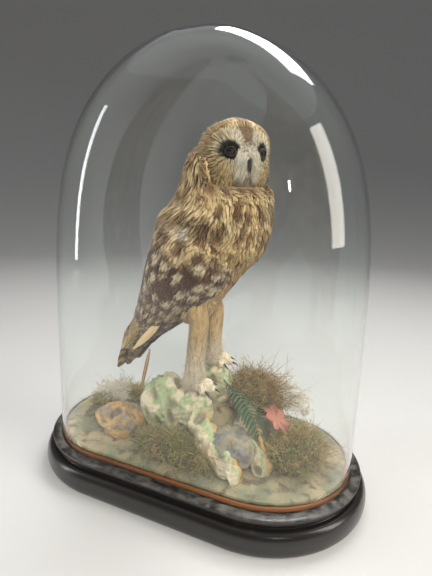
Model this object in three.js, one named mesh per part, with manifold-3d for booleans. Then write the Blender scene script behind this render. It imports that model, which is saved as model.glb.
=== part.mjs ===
// A stuffed short-eared owl on painted rockwork, under a glass dome on an ebonised oval base.
// Millimetres, +Z up. The origin is the middle of the base's underside, the base's long side lies
// along X, the owl's breast faces +X and its right wing faces -Y.
import * as THREE from 'three';
import { mergeVertices } from 'three/addons/utils/BufferGeometryUtils.js';
import Module from 'manifold-3d';

const wasm = await Module();
wasm.setup();

// ---- driving dimensions -------------------------------------------------------------------------
const GAP = 0.4;               // clearance between pieces that touch
const AROUND = 28;             // corners round an oval outline
const STRAIGHT = 93;           // half of the oval's straight side
const GLASS_RADIUS = 107.5;    // outer radius of the dome's round ends
const GLASS_WALL = 2.6;
const GLASS_TOP = 545;
const GLASS_SPRING = 162;      // height at which the dome starts to close
const BASE_HEIGHT = 41.6;
const GROOVE_DEPTH = 3;
const BOARD_TOP = 47.2;        // raised wooden board inside the glass
const GROUND_RADIUS = 102.4;
const LEAN = 27;               // degrees by which the trunk leans back from upright
const HEAD_AT = [40, -3, 410];
const HEAD_TURN = -37;         // degrees: the head looks over the right breast
const HEAD_HALF = [36, 40, 39.5];  // forward, sideways, up
const EYE_RADIUS = 7.6;
const EYE_AT = [21.5, 19.3, 0.8];  // forward, sideways, up from the middle of the head
const NEAR_FOOT = [4, -23, 121.5];
const FAR_FOOT = [8, 22, 142.5];
const WING_START = 8;          // degrees round the trunk, from the spine, at which a folded wing starts

const rad = THREE.MathUtils.degToRad;
const mix = THREE.MathUtils.lerp;

// ---- colours ------------------------------------------------------------------------------------
function finish(color, roughness) {
  return new THREE.MeshStandardMaterial({ color, roughness, metalness: 0 });
}
const clearGlass = finish(0xe8f0ee, 0.05);
clearGlass.transparent = true;
clearGlass.opacity = 0.25;
const FINISH = {
  ebonised: finish(0x15130f, 0.35),
  bareWood: finish(0x7a3c14, 0.6),
  glass: clearGlass,
  plaster: finish(0xb3aa86, 0.95),
  creamRock: finish(0xcfc8a6, 0.9),
  ochreRock: finish(0xa08040, 0.9),
  greyRock: finish(0x5a6064, 0.9),
  moss: finish(0x6d5c34, 1),
  fern: finish(0x24402a, 0.8),
  coral: finish(0xd08068, 0.8),
  down: finish(0xd8d4c8, 1),
  plumage: finish(0xb59a72, 0.95),
  flight: finish(0x4a3422, 0.9),
  face: finish(0xd6c4a0, 0.95),
  buff: finish(0xc9ac78, 0.95),
  eye: finish(0x0c0806, 0.05),
  horn: finish(0x1c1a18, 0.35),
};

// ---- closed surfaces ----------------------------------------------------------------------------
const v3 = (x = 0, y = 0, z = 0) => new THREE.Vector3(x, y, z);

// A closed body from a triangle list; faces turn outwards whichever way the rings ran.
function closedBody(points, faces) {
  let volume = 0;
  for (let i = 0; i < faces.length; i += 3) {
    const [a, b, c] = [points[faces[i]], points[faces[i + 1]], points[faces[i + 2]]];
    volume += a.dot(v3().crossVectors(b, c));
  }
  const geometry = new THREE.BufferGeometry().setFromPoints(points);
  geometry.setIndex(volume < 0 ? faces.reverse() : faces);
  return geometry;
}

// Joins rings of equal length, first to last, and closes both ends with a fan round their middle.
function loft(rings) {
  const n = rings[0].length;
  const points = rings.flat();
  const faces = [];
  for (let i = 0; i < rings.length - 1; i++) {
    for (let j = 0; j < n; j++) {
      const a = i * n + j;
      const b = i * n + (j + 1) % n;
      faces.push(a, b, b + n, a, b + n, a + n);
    }
  }
  const middle = (ring) => ring.reduce((sum, p) => sum.add(p), v3(0, 0, 0)).divideScalar(n);
  const first = points.push(middle(rings[0])) - 1;
  const last = points.push(middle(rings[rings.length - 1])) - 1;
  const top = (rings.length - 1) * n;
  for (let j = 0; j < n; j++) {
    const k = (j + 1) % n;
    faces.push(first, k, j, last, top + j, top + k);
  }
  return closedBody(points, faces);
}

// A ring of the oval outline at one height.
function oval(straight, radius, z, count = AROUND) {
  return Array.from({ length: count }, (_, i) => {
    const angle = 2 * Math.PI * (i + 0.5) / count;
    const end = Math.sign(Math.cos(angle)) * straight;
    return v3(end + radius * Math.cos(angle), radius * Math.sin(angle), z);
  });
}

// Smooth path through named stations; each station is a list of numbers of one length.
function through(stations) {
  return (t) => {
    const s = THREE.MathUtils.clamp(t, 0, 1) * (stations.length - 1);
    const i = Math.min(Math.floor(s), stations.length - 2);
    const at = (k) => stations[THREE.MathUtils.clamp(k, 0, stations.length - 1)];
    return at(i).map((p1, k) => {
      const [p0, p2, p3] = [at(i - 1)[k], at(i + 1)[k], at(i + 2)[k]];
      const f = s - i;
      return p1 + 0.5 * f * (p2 - p0 + f * (2 * p0 - 5 * p1 + 4 * p2 - p3 + f * (3 * (p1 - p2) + p3 - p0)));
    });
  };
}

// A ball of radius 1 with its poles up and down, as one closed surface.
function roundBall(around, upright) {
  const ball = new THREE.SphereGeometry(1, around, upright).rotateX(Math.PI / 2);
  return mergeVertices(ball.deleteAttribute('normal').deleteAttribute('uv'), 1e-4);
}

// Shrinks a section to nothing at each end, as the cap of a ball does.
function roundEnds(t, start, end) {
  const into = Math.max(0, 1 - t / start, 1 - (1 - t) / end);
  return Math.sqrt(Math.max(0, 1 - into ** 2));
}

// A point of a cross-section that dips forward by the tilt: fore is measured along the dip.
function inSection(x, z, fore, sideways, tilt) {
  return v3(x + fore * Math.cos(rad(tilt)), sideways, z - fore * Math.sin(rad(tilt)));
}

// A limb: round sections that lie across a path. Station: x, y, z, half-depth, half-width, tilt.
// A section's depth runs fore and aft, with its front edge dipped by the tilt; its width runs along Y.
function limb(stations, { rows, sides, start = 0.1, end = 0.1 }) {
  const path = through(stations);
  const rings = [];
  for (let i = 0; i < rows; i++) {
    const t = 0.5 - 0.5 * Math.cos(Math.PI * mix(0.06, 0.94, i / (rows - 1)));
    const [x, y, z, depth, width, tilt] = path(t);
    const size = roundEnds(t, start, end);
    rings.push(Array.from({ length: sides }, (_, j) => {
      const angle = 2 * Math.PI * j / sides;
      const fore = depth * size * Math.cos(angle);
      return inSection(x, z, fore, y + width * size * Math.sin(angle), tilt);
    }));
  }
  return loft(rings);
}

// Turns a shape made in a piece's own directions (forward, left, up) and sets it in its place.
function placed(geometry, at, turn = 0, dip = 0) {
  geometry.rotateY(rad(dip));
  geometry.rotateZ(rad(turn));
  return geometry.translate(...at);
}

// ---- base, board and dome -----------------------------------------------------------------------
// A moulding: the oval swept by a profile of [radius, height] pairs.
const moulding = (profile) => loft(profile.map(([radius, z]) => oval(STRAIGHT, radius, z)));

function baseFoot() {
  const [foot, bulge, height] = [118.4, 9.6, 29.4];
  const profile = Array.from({ length: 7 }, (_, i) => {
    const angle = Math.PI * i / 6;
    return [foot + bulge * Math.sin(angle) ** 0.8, height * (0.5 - 0.5 * Math.cos(angle)) ** 1.08];
  });
  return moulding(profile);
}

const baseNeck = () => moulding([[115.5, 29.4 + GAP], [115.5, 32.4]]);

// The upper step, with the groove that the glass stands in.
function baseTop() {
  const step = moulding([[117.6, 32.4 + GAP], [119.2, 34.5], [119.8, 40.4], [116.5, BASE_HEIGHT]]);
  const upright = (radius, from, to) => moulding([[radius, from], [radius, to]]);
  const groove = upright(GLASS_RADIUS + 1, BASE_HEIGHT - GROOVE_DEPTH, BASE_HEIGHT + 5);
  const plug = upright(GLASS_RADIUS - GLASS_WALL - 0.8, 0, 60);
  return solid(step).subtract(solid(groove).subtract(solid(plug)));
}

function groundBoard() {
  return moulding([[103.6, BASE_HEIGHT + GAP], [104.3, 43], [104.3, 46.4], [103.4, BOARD_TOP]]);
}

// Rings of the dome's outer or inner face: upright, then closing as a blunt superellipse.
function domeRings(inset, bottom) {
  const [upPower, outPower, straightPower] = [3.795, 2.66, 2.2];
  const [radius, top] = [GLASS_RADIUS - inset, GLASS_TOP - inset];
  const rings = [oval(STRAIGHT, radius, bottom)];
  const rows = 8;
  for (let i = 0; i < rows; i++) {
    const angle = Math.PI / 2 * (i / rows);
    const rise = Math.sin(angle) ** (2 / upPower);
    const reach = Math.cos(angle) ** (2 / outPower);
    rings.push(oval(STRAIGHT * reach ** straightPower, radius * reach, mix(GLASS_SPRING, top, rise)));
  }
  return { rings, tip: v3(0, 0, top) };
}

// One wall of glass, open below.
function glassDome() {
  const bottom = BASE_HEIGHT - GROOVE_DEPTH + GAP;
  const outer = domeRings(0, bottom);
  const inner = domeRings(GLASS_WALL, bottom);
  const n = AROUND;
  const rows = outer.rings.length;
  const points = [...outer.rings.flat(), ...inner.rings.flat(), outer.tip, inner.tip];
  const faces = [];
  const wall = (start, flip) => {
    for (let i = 0; i < rows - 1; i++) {
      for (let j = 0; j < n; j++) {
        const [a, b] = [start + i * n + j, start + i * n + (j + 1) % n];
        faces.push(...(flip ? [a, b + n, b, a, a + n, b + n] : [a, b, b + n, a, b + n, a + n]));
      }
    }
  };
  wall(0, false);
  wall(rows * n, true);
  for (let j = 0; j < n; j++) {
    const k = (j + 1) % n;
    const topRow = (rows - 1) * n;
    faces.push(topRow + j, topRow + k, 2 * rows * n);
    faces.push(rows * n + topRow + k, rows * n + topRow + j, 2 * rows * n + 1);
    faces.push(j, rows * n + j, rows * n + k, j, rows * n + k, k);
  }
  return closedBody(points, faces);
}

// ---- rockwork -----------------------------------------------------------------------------------
// A fixed, smooth roughness of about -1 to 1 that depends only on place and seed.
function rough(x, y, z, seed) {
  const level = Math.sin(x * 0.11 + seed) * Math.cos(y * 0.13 - 2 * seed);
  return level + 0.5 * Math.sin(z * 0.19 + x * 0.17 + 3 * seed);
}

// The plaster ground: a low mound on the board.
function groundHeight(x, y) {
  const mound = 44 * Math.exp(-(((x - 12) / 68) ** 2) - ((y - 12) / 52) ** 2);
  return 51 + mound + 1.6 * rough(x, y, 0, 4);
}

function plasterGround() {
  const corners = 20;
  const rings = [oval(STRAIGHT, GROUND_RADIUS, BOARD_TOP + GAP, corners)];
  for (const share of [1, 0.9, 0.72, 0.5, 0.28, 0.1]) {
    const ring = oval(STRAIGHT * share, (GROUND_RADIUS - 2) * share, 0, corners);
    rings.push(ring.map((p) => v3(p.x, p.y, share === 1 ? BOARD_TOP + 3 : groundHeight(p.x, p.y))));
  }
  return loft(rings);
}

// A crumpled lump of painted paper and glue, or a pad of moss.
const lump = (at, half, seed, crumple = 0.1, turn = 0) => () => {
  const ball = roundBall(10, 6);
  const p = ball.attributes.position;
  for (let i = 0; i < p.count; i++) {
    const [x, y, z] = [p.getX(i), p.getY(i), p.getZ(i)];
    const swell = 1 + crumple * rough(x * 20, y * 20, z * 20, seed);
    p.setXYZ(i, x * half[0] * swell, y * half[1] * swell, z * half[2] * swell);
  }
  return placed(ball, at, turn);
};

// A ridge that runs downhill between two points, as a root does. Ends: x, y, z, half-thickness.
const ridge = (from, to, sag = 6, rows = 7, sides = 8) => () => {
  const middle = from.map((value, k) => (value + to[k]) / 2 + (k === 2 ? sag : 0));
  const path = through([from, middle, to]);
  const along = v3(to[0] - from[0], to[1] - from[1], 0).normalize();
  const rings = [];
  for (let i = 0; i < rows; i++) {
    const t = i / (rows - 1);
    const [x, y, z, half] = path(t);
    const size = half * Math.max(0.25, roundEnds(t, 0.14, 0.14)) * (1 + 0.14 * rough(x * 2, y * 2, z, 1));
    rings.push(Array.from({ length: sides }, (_, j) => {
      const angle = 2 * Math.PI * j / sides;
      const level = size * Math.cos(angle);
      return v3(x - along.y * level, y + along.x * level, z + 1.1 * size * Math.sin(angle));
    }));
  }
  return loft(rings);
};

// A thin blade, such as a leaf, frond or loose feather: a lens-shaped strip along a path.
// Station: x, y, z, half-width. The width lies level, across the path.
const blade = (stations, thickness) => () => {
  const path = through(stations);
  const [from, to] = [v3(...stations[0]), v3(...stations[stations.length - 1])];
  const along = to.sub(from).normalize();
  const across = v3().crossVectors(v3(0, 0, 1), along).normalize();
  const normal = v3().crossVectors(along, across);
  const rows = 5;
  const rings = [];
  for (let i = 0; i < rows; i++) {
    const [x, y, z, half] = path(i / (rows - 1));
    rings.push(Array.from({ length: 6 }, (_, j) => {
      const angle = 2 * Math.PI * j / 6;
      return v3(x, y, z)
        .addScaledVector(across, Math.max(half, 0.8) * Math.cos(angle))
        .addScaledVector(normal, thickness / 2 * Math.sin(angle));
    }));
  }
  return loft(rings);
};

// ---- the owl ------------------------------------------------------------------------------------
// Trunk and neck in one path from the vent to the nape. Station: x, y, z, half-depth, half-width, tilt.
const BODY = [
  [-24, 0, 204, 22, 24, LEAN],
  [-18, 0, 232, 36, 37, LEAN],
  [-12, 0, 262, 47, 46, LEAN],
  [0, 0, 296, 58, 52, LEAN],
  [17, 0, 326, 65, 55, 20],
  [26, 0, 350, 61, 55, 12],
  [28, 0, 373, 56, 49, 5],
  [22, -2, 393, 45, 42, 0],
  [16, -4, 412, 32, 33, -6],
  [18, -4, 430, 20, 22, -6],
];
const NECK_FROM = 356;   // height of the parting between trunk and neck, at the middle of the body

const wholeBody = () => limb(BODY, { rows: 12, sides: 12, start: 0.08, end: 0.12 });

// Everything above or below a plane that dips forward by the tilt through [0, 0, height].
function slab(height, tilt, above) {
  const size = 600;
  const box = new THREE.BoxGeometry(size, size, size).translate(0, 0, (above ? 1 : -1) * size / 2);
  return solid(box.rotateY(rad(tilt)).translate(0, 0, height));
}
const trunk = () => solid(wholeBody()).intersect(slab(NECK_FROM, 12, false));
const neck = () => solid(wholeBody()).intersect(slab(NECK_FROM + GAP, 12, true));

// The head: a ball, flat across the face, with a hollow for each eye and a low ridge down to the bill.
const head = () => {
  const ball = roundBall(16, 11);
  const p = ball.attributes.position;
  const bump = (y, z, y0, z0, spread) => Math.exp(-((y - y0) ** 2 + (z - z0) ** 2) / spread ** 2);
  for (let i = 0; i < p.count; i++) {
    let x = p.getX(i) * HEAD_HALF[0];
    const y = p.getY(i) * HEAD_HALF[1];
    const z = p.getZ(i) * HEAD_HALF[2];
    if (x > 12) {
      x = 12 + (x - 12) * 0.68;
      x += 5 * bump(y, z * 0.5, 0, -2, 8);
      x -= 3.5 * (bump(y, z, EYE_AT[1], EYE_AT[2], 9) + bump(y, z, -EYE_AT[1], EYE_AT[2], 9));
    }
    p.setXYZ(i, x, y, z);
  }
  return placed(ball, HEAD_AT, HEAD_TURN);
};

// A place given forward, left and up from the middle of the head.
function onHead(forward, left, up) {
  const p = v3(forward, left, up).applyAxisAngle(v3(0, 0, 1), rad(HEAD_TURN));
  return [p.x + HEAD_AT[0], p.y + HEAD_AT[1], p.z + HEAD_AT[2]];
}
const eye = (side) => () => {
  const ball = roundBall(9, 6).scale(EYE_RADIUS, EYE_RADIUS, EYE_RADIUS);
  return placed(ball, onHead(EYE_AT[0], side * EYE_AT[1], EYE_AT[2]));
};

// A horny hook, for the bill and claws: a tapering cone bent downwards, made pointing forward.
const hook = (length, drop, half, at, turn, dip = 0) => () => {
  const rings = [];
  for (let i = 0; i < 4; i++) {
    const t = i / 3;
    const bend = t * t;
    const size = mix(half, 0.5, t ** 1.2);
    rings.push(Array.from({ length: 5 }, (_, j) => {
      const angle = 2 * Math.PI * j / 5;
      const upright = size * Math.sin(angle);
      const forward = length * (t - 0.25 * bend) + 0.8 * t * upright;
      return v3(forward, size * Math.cos(angle), -drop * bend + (1 - 0.5 * t) * upright);
    }));
  }
  return placed(loft(rings), at, turn, dip);
};
const bill = hook(17, 15, 6.2, onHead(24, 0, -4), HEAD_TURN, 12);

// A folded wing: a blade wrapped round the side of the trunk, thick in the middle and thin at both
// edges. Station: x, z of the section's middle, reach along the body's depth and width, thickness,
// then the degrees from the spine at which the wing starts and ends.
const WING = [
  [16, 328, 57, 52, 4, 52, 128],
  [10, 316, 59, 54, 10, 24, 147],
  [2, 301, 60, 55, 13, 12, 152],
  [-10, 280, 57, 53, 14, WING_START, 153],
  [-26, 253, 50, 46, 14, WING_START, 148],
  [-45, 225, 40, 36, 12, WING_START, 149],
  [-70, 194, 26, 26, 9, WING_START, 146],
  [-88, 168, 18, 20, 7, WING_START, 134],
  [-98, 148, 12, 15, 5, 10, 120],
  [-105, 132, 8, 11, 3, 20, 90],
];
const wing = (side) => () => {
  const path = through(WING);
  const rings = [];
  const [rows, sides] = [12, 6];
  for (let i = 0; i < rows; i++) {
    const [x, z, deep, wide, thick, from, to] = path(i / (rows - 1));
    const ring = [];
    const corner = (share, outward) => {
      const angle = rad(mix(from, to, share));
      const swell = thick * Math.sin(Math.PI * mix(0.08, 0.92, share)) * 0.5;
      const offset = outward * swell;
      const fore = -(deep + offset) * Math.cos(angle);
      ring.push(inSection(x, z, fore, side * (wide + offset) * Math.sin(angle), LEAN));
    };
    for (let j = 0; j < sides; j++) corner(j / (sides - 1), 1);
    for (let j = sides - 1; j >= 0; j--) corner(j / (sides - 1), -1);
    rings.push(ring);
  }
  return loft(rings);
};

// Rump and tail: a flat fan of feathers that hangs behind the legs.
const TAIL = [
  [-38, 0, 236, 17, 26, LEAN],
  [-64, 0, 208, 15, 26, LEAN],
  [-90, 0, 180, 10, 27, LEAN],
  [-106, 0, 152, 7, 28, 20],
  [-113, 0, 126, 4, 26, 10],
];
const tail = () => limb(TAIL, { rows: 6, sides: 8, start: 0.25, end: 0.06 });

// A feathered leg from the thigh down to the ankle.
const leg = (side, foot) => () => limb([
  [4, side * 22, 236, 15, 13, LEAN],
  [8, side * 22.5, 208, 9, 9, 14],
  [mix(foot[0], 6, 0.5), mix(foot[1], side * 23, 0.5), mix(foot[2], 196, 0.55), 8.5, 8.5, 0],
  [foot[0], foot[1], foot[2] + 12, 9.5, 9.5, 0],
], { rows: 7, sides: 8, start: 0.3, end: 0.08 });

// Toes of a foot: bearing in degrees, length.
const TOES = [[-28, 25], [4, 28], [42, 24], [172, 15]];
function toeEnd([x, y, z], [bearing, length]) {
  return [x + length * Math.cos(rad(bearing)), y + length * Math.sin(rad(bearing)), z + 5];
}
const feathered = ([x, y, z]) => () => {
  let whole = solid(placed(roundBall(8, 5).scale(13, 12, 8), [x, y, z + 6]));
  for (const toe of TOES) {
    const toeShape = ridge([x, y, z + 6, 6.5], [...toeEnd([x, y, z], toe), 4.8], 1.5, 3, 6);
    whole = whole.add(solid(toeShape()));
  }
  return whole;
};
const claw = (foot, toe) => {
  const end = toeEnd(foot, toe);
  const [bearing] = toe;
  const at = [end[0] - 4 * Math.cos(rad(bearing)), end[1] - 4 * Math.sin(rad(bearing)), end[2] + 0.5];
  return hook(16, 4.6, 2.3, at, bearing);
};

// ---- putting the pieces together ----------------------------------------------------------------
// A shape as one solid that others can be cut from or joined to.
function solid(shape) {
  if (!shape.isBufferGeometry) return shape;
  const merged = mergeVertices(shape.deleteAttribute('normal').deleteAttribute('uv'), 1e-4);
  return new wasm.Manifold(new wasm.Mesh({
    numProp: 3,
    vertProperties: merged.attributes.position.array,
    triVerts: new Uint32Array(merged.index.array),
  }));
}

// The same shape, larger all round by a distance: each corner moves out along the mean of its faces'
// directions, far enough to push every one of those faces out by the distance.
function swollen(shape, distance) {
  const geometry = geometryOf(solid(shape));
  const p = geometry.attributes.position;
  const corners = Array.from({ length: p.count }, (_, i) => v3().fromBufferAttribute(p, i));
  const facing = corners.map(() => []);
  const index = geometry.index.array;
  for (let i = 0; i < index.length; i += 3) {
    const face = [index[i], index[i + 1], index[i + 2]];
    const normal = new THREE.Triangle(...face.map((k) => corners[k])).getNormal(v3());
    for (const k of face) facing[k].push(normal);
  }
  corners.forEach((corner, i) => {
    const mean = facing[i].reduce((sum, n) => sum.add(n), v3()).normalize();
    const steepest = Math.max(0.3, Math.min(...facing[i].map((n) => n.dot(mean))));
    p.setXYZ(i, ...corner.addScaledVector(mean, distance / steepest));
  });
  return solid(geometry);
}

// A solid as a mesh's geometry.
function geometryOf(made) {
  const mesh = made.getMesh();
  const geometry = new THREE.BufferGeometry();
  geometry.setAttribute('position', new THREE.BufferAttribute(Float32Array.from(mesh.vertProperties), 3));
  geometry.setIndex(new THREE.BufferAttribute(Uint32Array.from(mesh.triVerts), 1));
  geometry.computeVertexNormals();
  return geometry;
}

const group = new THREE.Group();
const fixed = [];   // the clearance round each piece that is already in place

// Adds a piece, cut back from all that was placed before it.
function add(name, make, material) {
  let body = solid(make());
  for (const clearance of fixed) body = body.subtract(clearance);
  const parts = body.decompose().sort((a, b) => b.volume() - a.volume());
  fixed.push(swollen(make(), GAP));
  const mesh = new THREE.Mesh(geometryOf(parts[0]), material);
  mesh.name = name;
  group.add(mesh);
}

// Adds a piece that by its own dimensions touches nothing.
function addWhole(name, make, material) {
  const mesh = new THREE.Mesh(geometryOf(solid(make())), material);
  mesh.name = name;
  group.add(mesh);
}

addWhole('base_foot', baseFoot, FINISH.ebonised);
addWhole('base_neck', baseNeck, FINISH.ebonised);
addWhole('base_top', baseTop, FINISH.ebonised);
addWhole('ground_board', groundBoard, FINISH.bareWood);
addWhole('glass_dome', glassDome, FINISH.glass);

add('eye_left', eye(1), FINISH.eye);
add('eye_right', eye(-1), FINISH.eye);
add('bill', bill, FINISH.horn);
add('head', head, FINISH.face);
add('neck', neck, FINISH.plumage);
add('wing_left', wing(1), FINISH.flight);
add('wing_right', wing(-1), FINISH.flight);
const FEET = { right: NEAR_FOOT, left: FAR_FOOT };
for (const [side, foot] of Object.entries(FEET)) {
  TOES.forEach((toe, i) => add(`claw_${side}_${i + 1}`, claw(foot, toe), FINISH.horn));
  add(`foot_${side}`, feathered(foot), FINISH.buff);
  add(`leg_${side}`, leg(Math.sign(foot[1]), foot), FINISH.buff);
}
add('tail', tail, FINISH.flight);
add('trunk', trunk, FINISH.plumage);

// Thin things laid on the rocks. Station of a blade: x, y, z, half-width.
const LEAF = [[90, 16, 94, 3], [100, 10, 96, 16], [112, -2, 93, 18], [122, -12, 87, 4]];
const FROND = [[36, 8, 122, 2], [60, -8, 114, 9], [82, -22, 102, 13], [98, -34, 86, 3]];
const DOWN_RIGHT = [[84, 64, 112, 6], [100, 58, 110, 19], [118, 50, 102, 20], [134, 42, 90, 6]];
const DOWN_LEFT = [[-152, -22, 84, 5], [-134, -22, 96, 15], [-114, -24, 96, 15], [-98, -28, 86, 5]];
const QUILL = [[-58, -30, 166, 1], [-62, -31, 146, 2.2], [-67, -32, 122, 1.6], [-70, -33, 104, 0.9]];

const GROUNDWORK = [
  ['rock_under_right_foot', lump([4, -25, 92], [27, 22, 30.5], 2.1, 0.06), FINISH.creamRock],
  ['rock_under_left_foot', lump([10, 22, 110], [27, 21, 33], 0.4, 0.06), FINISH.creamRock],
  ['rock_cream', lump([-31, -32, 94], [33, 25, 40], 5.2, 0.12, 12), FINISH.creamRock],
  ['ridge_cream', ridge([20, -46, 98, 17], [94, -84, 58, 10], 8), FINISH.creamRock],
  ['ridge_green', ridge([66, -4, 94, 15], [116, -58, 58, 11], 6), FINISH.ochreRock],
  ['rock_grey', lump([66, -44, 68], [32, 28, 26], 1.7, 0.12, -30), FINISH.greyRock],
  ['rock_ochre', lump([-92, -44, 62], [33, 26, 24], 3.3, 0.14, 10), FINISH.ochreRock],
  ['moss_front', lump([8, -74, 60], [64, 20, 18], 2.6, 0.1, -6), FINISH.moss],
  ['moss_right', lump([138, -12, 64], [34, 44, 24], 0.9, 0.1), FINISH.moss],
  ['moss_back', lump([62, 48, 104], [48, 34, 28], 4.1, 0.1, -15), FINISH.moss],
  ['moss_left', lump([-134, 6, 60], [34, 40, 18], 1.2, 0.1), FINISH.moss],
  ['leaf_coral', blade(LEAF, 1.6), FINISH.coral],
  ['fern_frond', blade(FROND, 1.6), FINISH.fern],
  ['down_right', blade(DOWN_RIGHT, 9), FINISH.down],
  ['down_left', blade(DOWN_LEFT, 10), FINISH.down],
  ['quill_loose', blade(QUILL, 1.2), FINISH.down],
];
// All groundwork stays on the board and clear of the glass.
const room = solid(moulding([[GROUND_RADIUS - 0.8, BOARD_TOP + GAP], [GROUND_RADIUS - 0.8, 300]]));
add('plaster_ground', plasterGround, FINISH.plaster);
for (const [name, make, material] of GROUNDWORK) add(name, () => solid(make()).intersect(room), material);

export default group;
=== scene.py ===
# %% [markdown]
# # A stuffed short-eared owl under a glass dome
# The display has three makers' jobs in it: a turned black base with a blown dome, a landscape of
# painted paper rocks with dried moss, and the bird itself. Each is built here in the order in which
# it would be made. The solid model is loaded first as a fixed frame, so every piece below is worked
# out in its metres: X runs along the base, the owl's breast faces +X and its right wing faces -Y.

# %% Load the frame
import math
import bpy
import numpy as np
from mathutils import Matrix, Vector


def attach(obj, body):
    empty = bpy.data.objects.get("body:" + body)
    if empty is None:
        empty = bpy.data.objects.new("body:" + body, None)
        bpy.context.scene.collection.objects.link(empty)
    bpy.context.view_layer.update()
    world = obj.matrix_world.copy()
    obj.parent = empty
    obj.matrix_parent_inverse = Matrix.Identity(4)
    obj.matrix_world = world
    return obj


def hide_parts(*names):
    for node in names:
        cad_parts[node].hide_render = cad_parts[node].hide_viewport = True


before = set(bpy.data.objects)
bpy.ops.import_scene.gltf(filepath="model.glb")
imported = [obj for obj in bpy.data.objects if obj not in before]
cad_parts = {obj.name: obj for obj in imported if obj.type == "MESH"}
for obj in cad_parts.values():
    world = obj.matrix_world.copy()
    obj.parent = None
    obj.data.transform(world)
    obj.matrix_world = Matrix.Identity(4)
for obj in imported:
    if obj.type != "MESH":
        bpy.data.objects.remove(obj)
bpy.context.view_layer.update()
MM = 0.001
rng = np.random.default_rng(11)

# %% [markdown]
# ## The camera
# The camera stands a little to the owl's front, at the height of its breast, and looks slightly
# down. Heading, dip and tilt are angles, so the three directions of the camera are worked out from
# them and put together as a matrix. The picture is upright, so the lens is measured along its height.

# %% Place the camera
CAMERA_AT = (0.2485, -0.4984, 0.3708)
HEADING, DIP, TILT = math.radians(-24.72), math.radians(12.37), math.radians(1.96)
LENS = 28.15

ahead = np.array([math.sin(HEADING) * math.cos(DIP), math.cos(HEADING) * math.cos(DIP), -math.sin(DIP)])
right = np.array([math.cos(HEADING), -math.sin(HEADING), 0.0])
up = np.cross(right, ahead)
right, up = (math.cos(TILT) * right + math.sin(TILT) * up, -math.sin(TILT) * right + math.cos(TILT) * up)
camera_data = bpy.data.cameras.new("camera")
camera_data.lens = LENS
camera_data.sensor_width = 36.0
camera_data.clip_start = 0.01
camera = bpy.data.objects.new("camera", camera_data)
bpy.context.collection.objects.link(camera)
turn = Matrix([[right[i], up[i], -ahead[i], CAMERA_AT[i]] for i in range(3)] + [[0, 0, 0, 1]])
camera.matrix_world = turn
bpy.context.scene.camera = camera
print("camera at", CAMERA_AT, "lens", LENS)

# %% [markdown]
# ## Helpers for shapes
# Almost everything here is one of two things: a sheet of points on a grid, or a bundle of many small
# tubes (feathers, tufts, moss). Both are arrays of points, and numpy fills them at once. A mesh
# only needs the points, the faces that join them, and whatever the material wants to read.

# %% Curves and ends
def through(stations, t):
    """A smooth path: between two stations the value is a cubic that also looks at the stations before
    and after, and beyond the ends it goes on straight. t from 0 to 1 covers all stations."""
    p = np.asarray(stations, float)
    t = np.asarray(t, float)
    inside = np.clip(t, 0, 1)
    s = inside * (len(p) - 1)
    i = np.minimum(s.astype(int), len(p) - 2)
    f = (s - i)[..., None]
    p0, p1, p2, p3 = (p[np.clip(i + k, 0, len(p) - 1)] for k in (-1, 0, 1, 2))
    value = p1 + 0.5 * f * (p2 - p0 + f * (2 * p0 - 5 * p1 + 4 * p2 - p3 + f * (3 * (p1 - p2) + p3 - p0)))
    slope = np.where((t < 0)[..., None], p[1] - p[0], p[-1] - p[-2]) * (len(p) - 1)
    return value + slope * (t - inside)[..., None]


def round_ends(t, start, end):
    """Shrinks a section to nothing at both ends as a ball does: the root of one minus the square of
    how far into the end the section is."""
    into = np.maximum.reduce([np.zeros_like(t), 1 - t / start, 1 - (1 - t) / end])
    return np.sqrt(np.maximum(0, 1 - into ** 2))


def unit(v):
    """Vectors of length one."""
    return v / np.maximum(np.linalg.norm(v, axis=-1, keepdims=True), 1e-12)


def ease(a, b, x):
    """0 below a, 1 above b, and a smooth S between them."""
    s = np.clip((x - a) / (b - a), 0, 1)
    return s * s * (3 - 2 * s)


def noise(p, size, seed, octaves=3):
    """Soft noise from -1 to 1: the sum of a few plane waves in random directions, each octave
    half as long and half as strong."""
    waves = np.random.default_rng(seed)
    total = np.zeros(p.shape[:-1])
    for k in range(octaves):
        directions = unit(waves.normal(size=(5, 3))) * (2 * np.pi * 2 ** k / size)
        phases = waves.uniform(0, 2 * np.pi, 5)
        total += sum(np.sin(p @ d + f) for d, f in zip(directions, phases)) / 5 * 0.6 ** k
    return total


# %% Meshes from arrays
def new_object(name, points, faces, material, uvs=None, colors=None):
    """A smooth mesh object from points and faces, with UV maps and colour attributes per point."""
    mesh = bpy.data.meshes.new(name)
    mesh.from_pydata(points.reshape(-1, 3).tolist(), [], faces)
    mesh.shade_smooth()
    corner = np.empty(len(mesh.loops), dtype=np.int32)
    mesh.loops.foreach_get("vertex_index", corner)
    for map_name, uv in (uvs or {}).items():
        layer = mesh.uv_layers.new(name=map_name)
        layer.data.foreach_set("uv", uv.reshape(-1, 2)[corner].astype(np.float32).ravel())
    for color_name, value in (colors or {}).items():
        layer = mesh.color_attributes.new(color_name, "FLOAT_COLOR", "POINT")
        layer.data.foreach_set("color", value.reshape(-1, 4).astype(np.float32).ravel())
    mesh.materials.append(material)
    made = bpy.data.objects.new(name, mesh)
    bpy.context.collection.objects.link(made)
    return made


def grid_faces(rows, columns, wrap=True, offset=0):
    """Quads of a grid whose points run along each row first; wrap joins the last column to the first."""
    i, j = np.meshgrid(np.arange(rows - 1), np.arange(columns if wrap else columns - 1), indexing="ij")
    k = (j + 1) % columns
    quads = np.stack([i * columns + j, i * columns + k, (i + 1) * columns + k, (i + 1) * columns + j], -1)
    return (quads.reshape(-1, 4) + offset).tolist()


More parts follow.
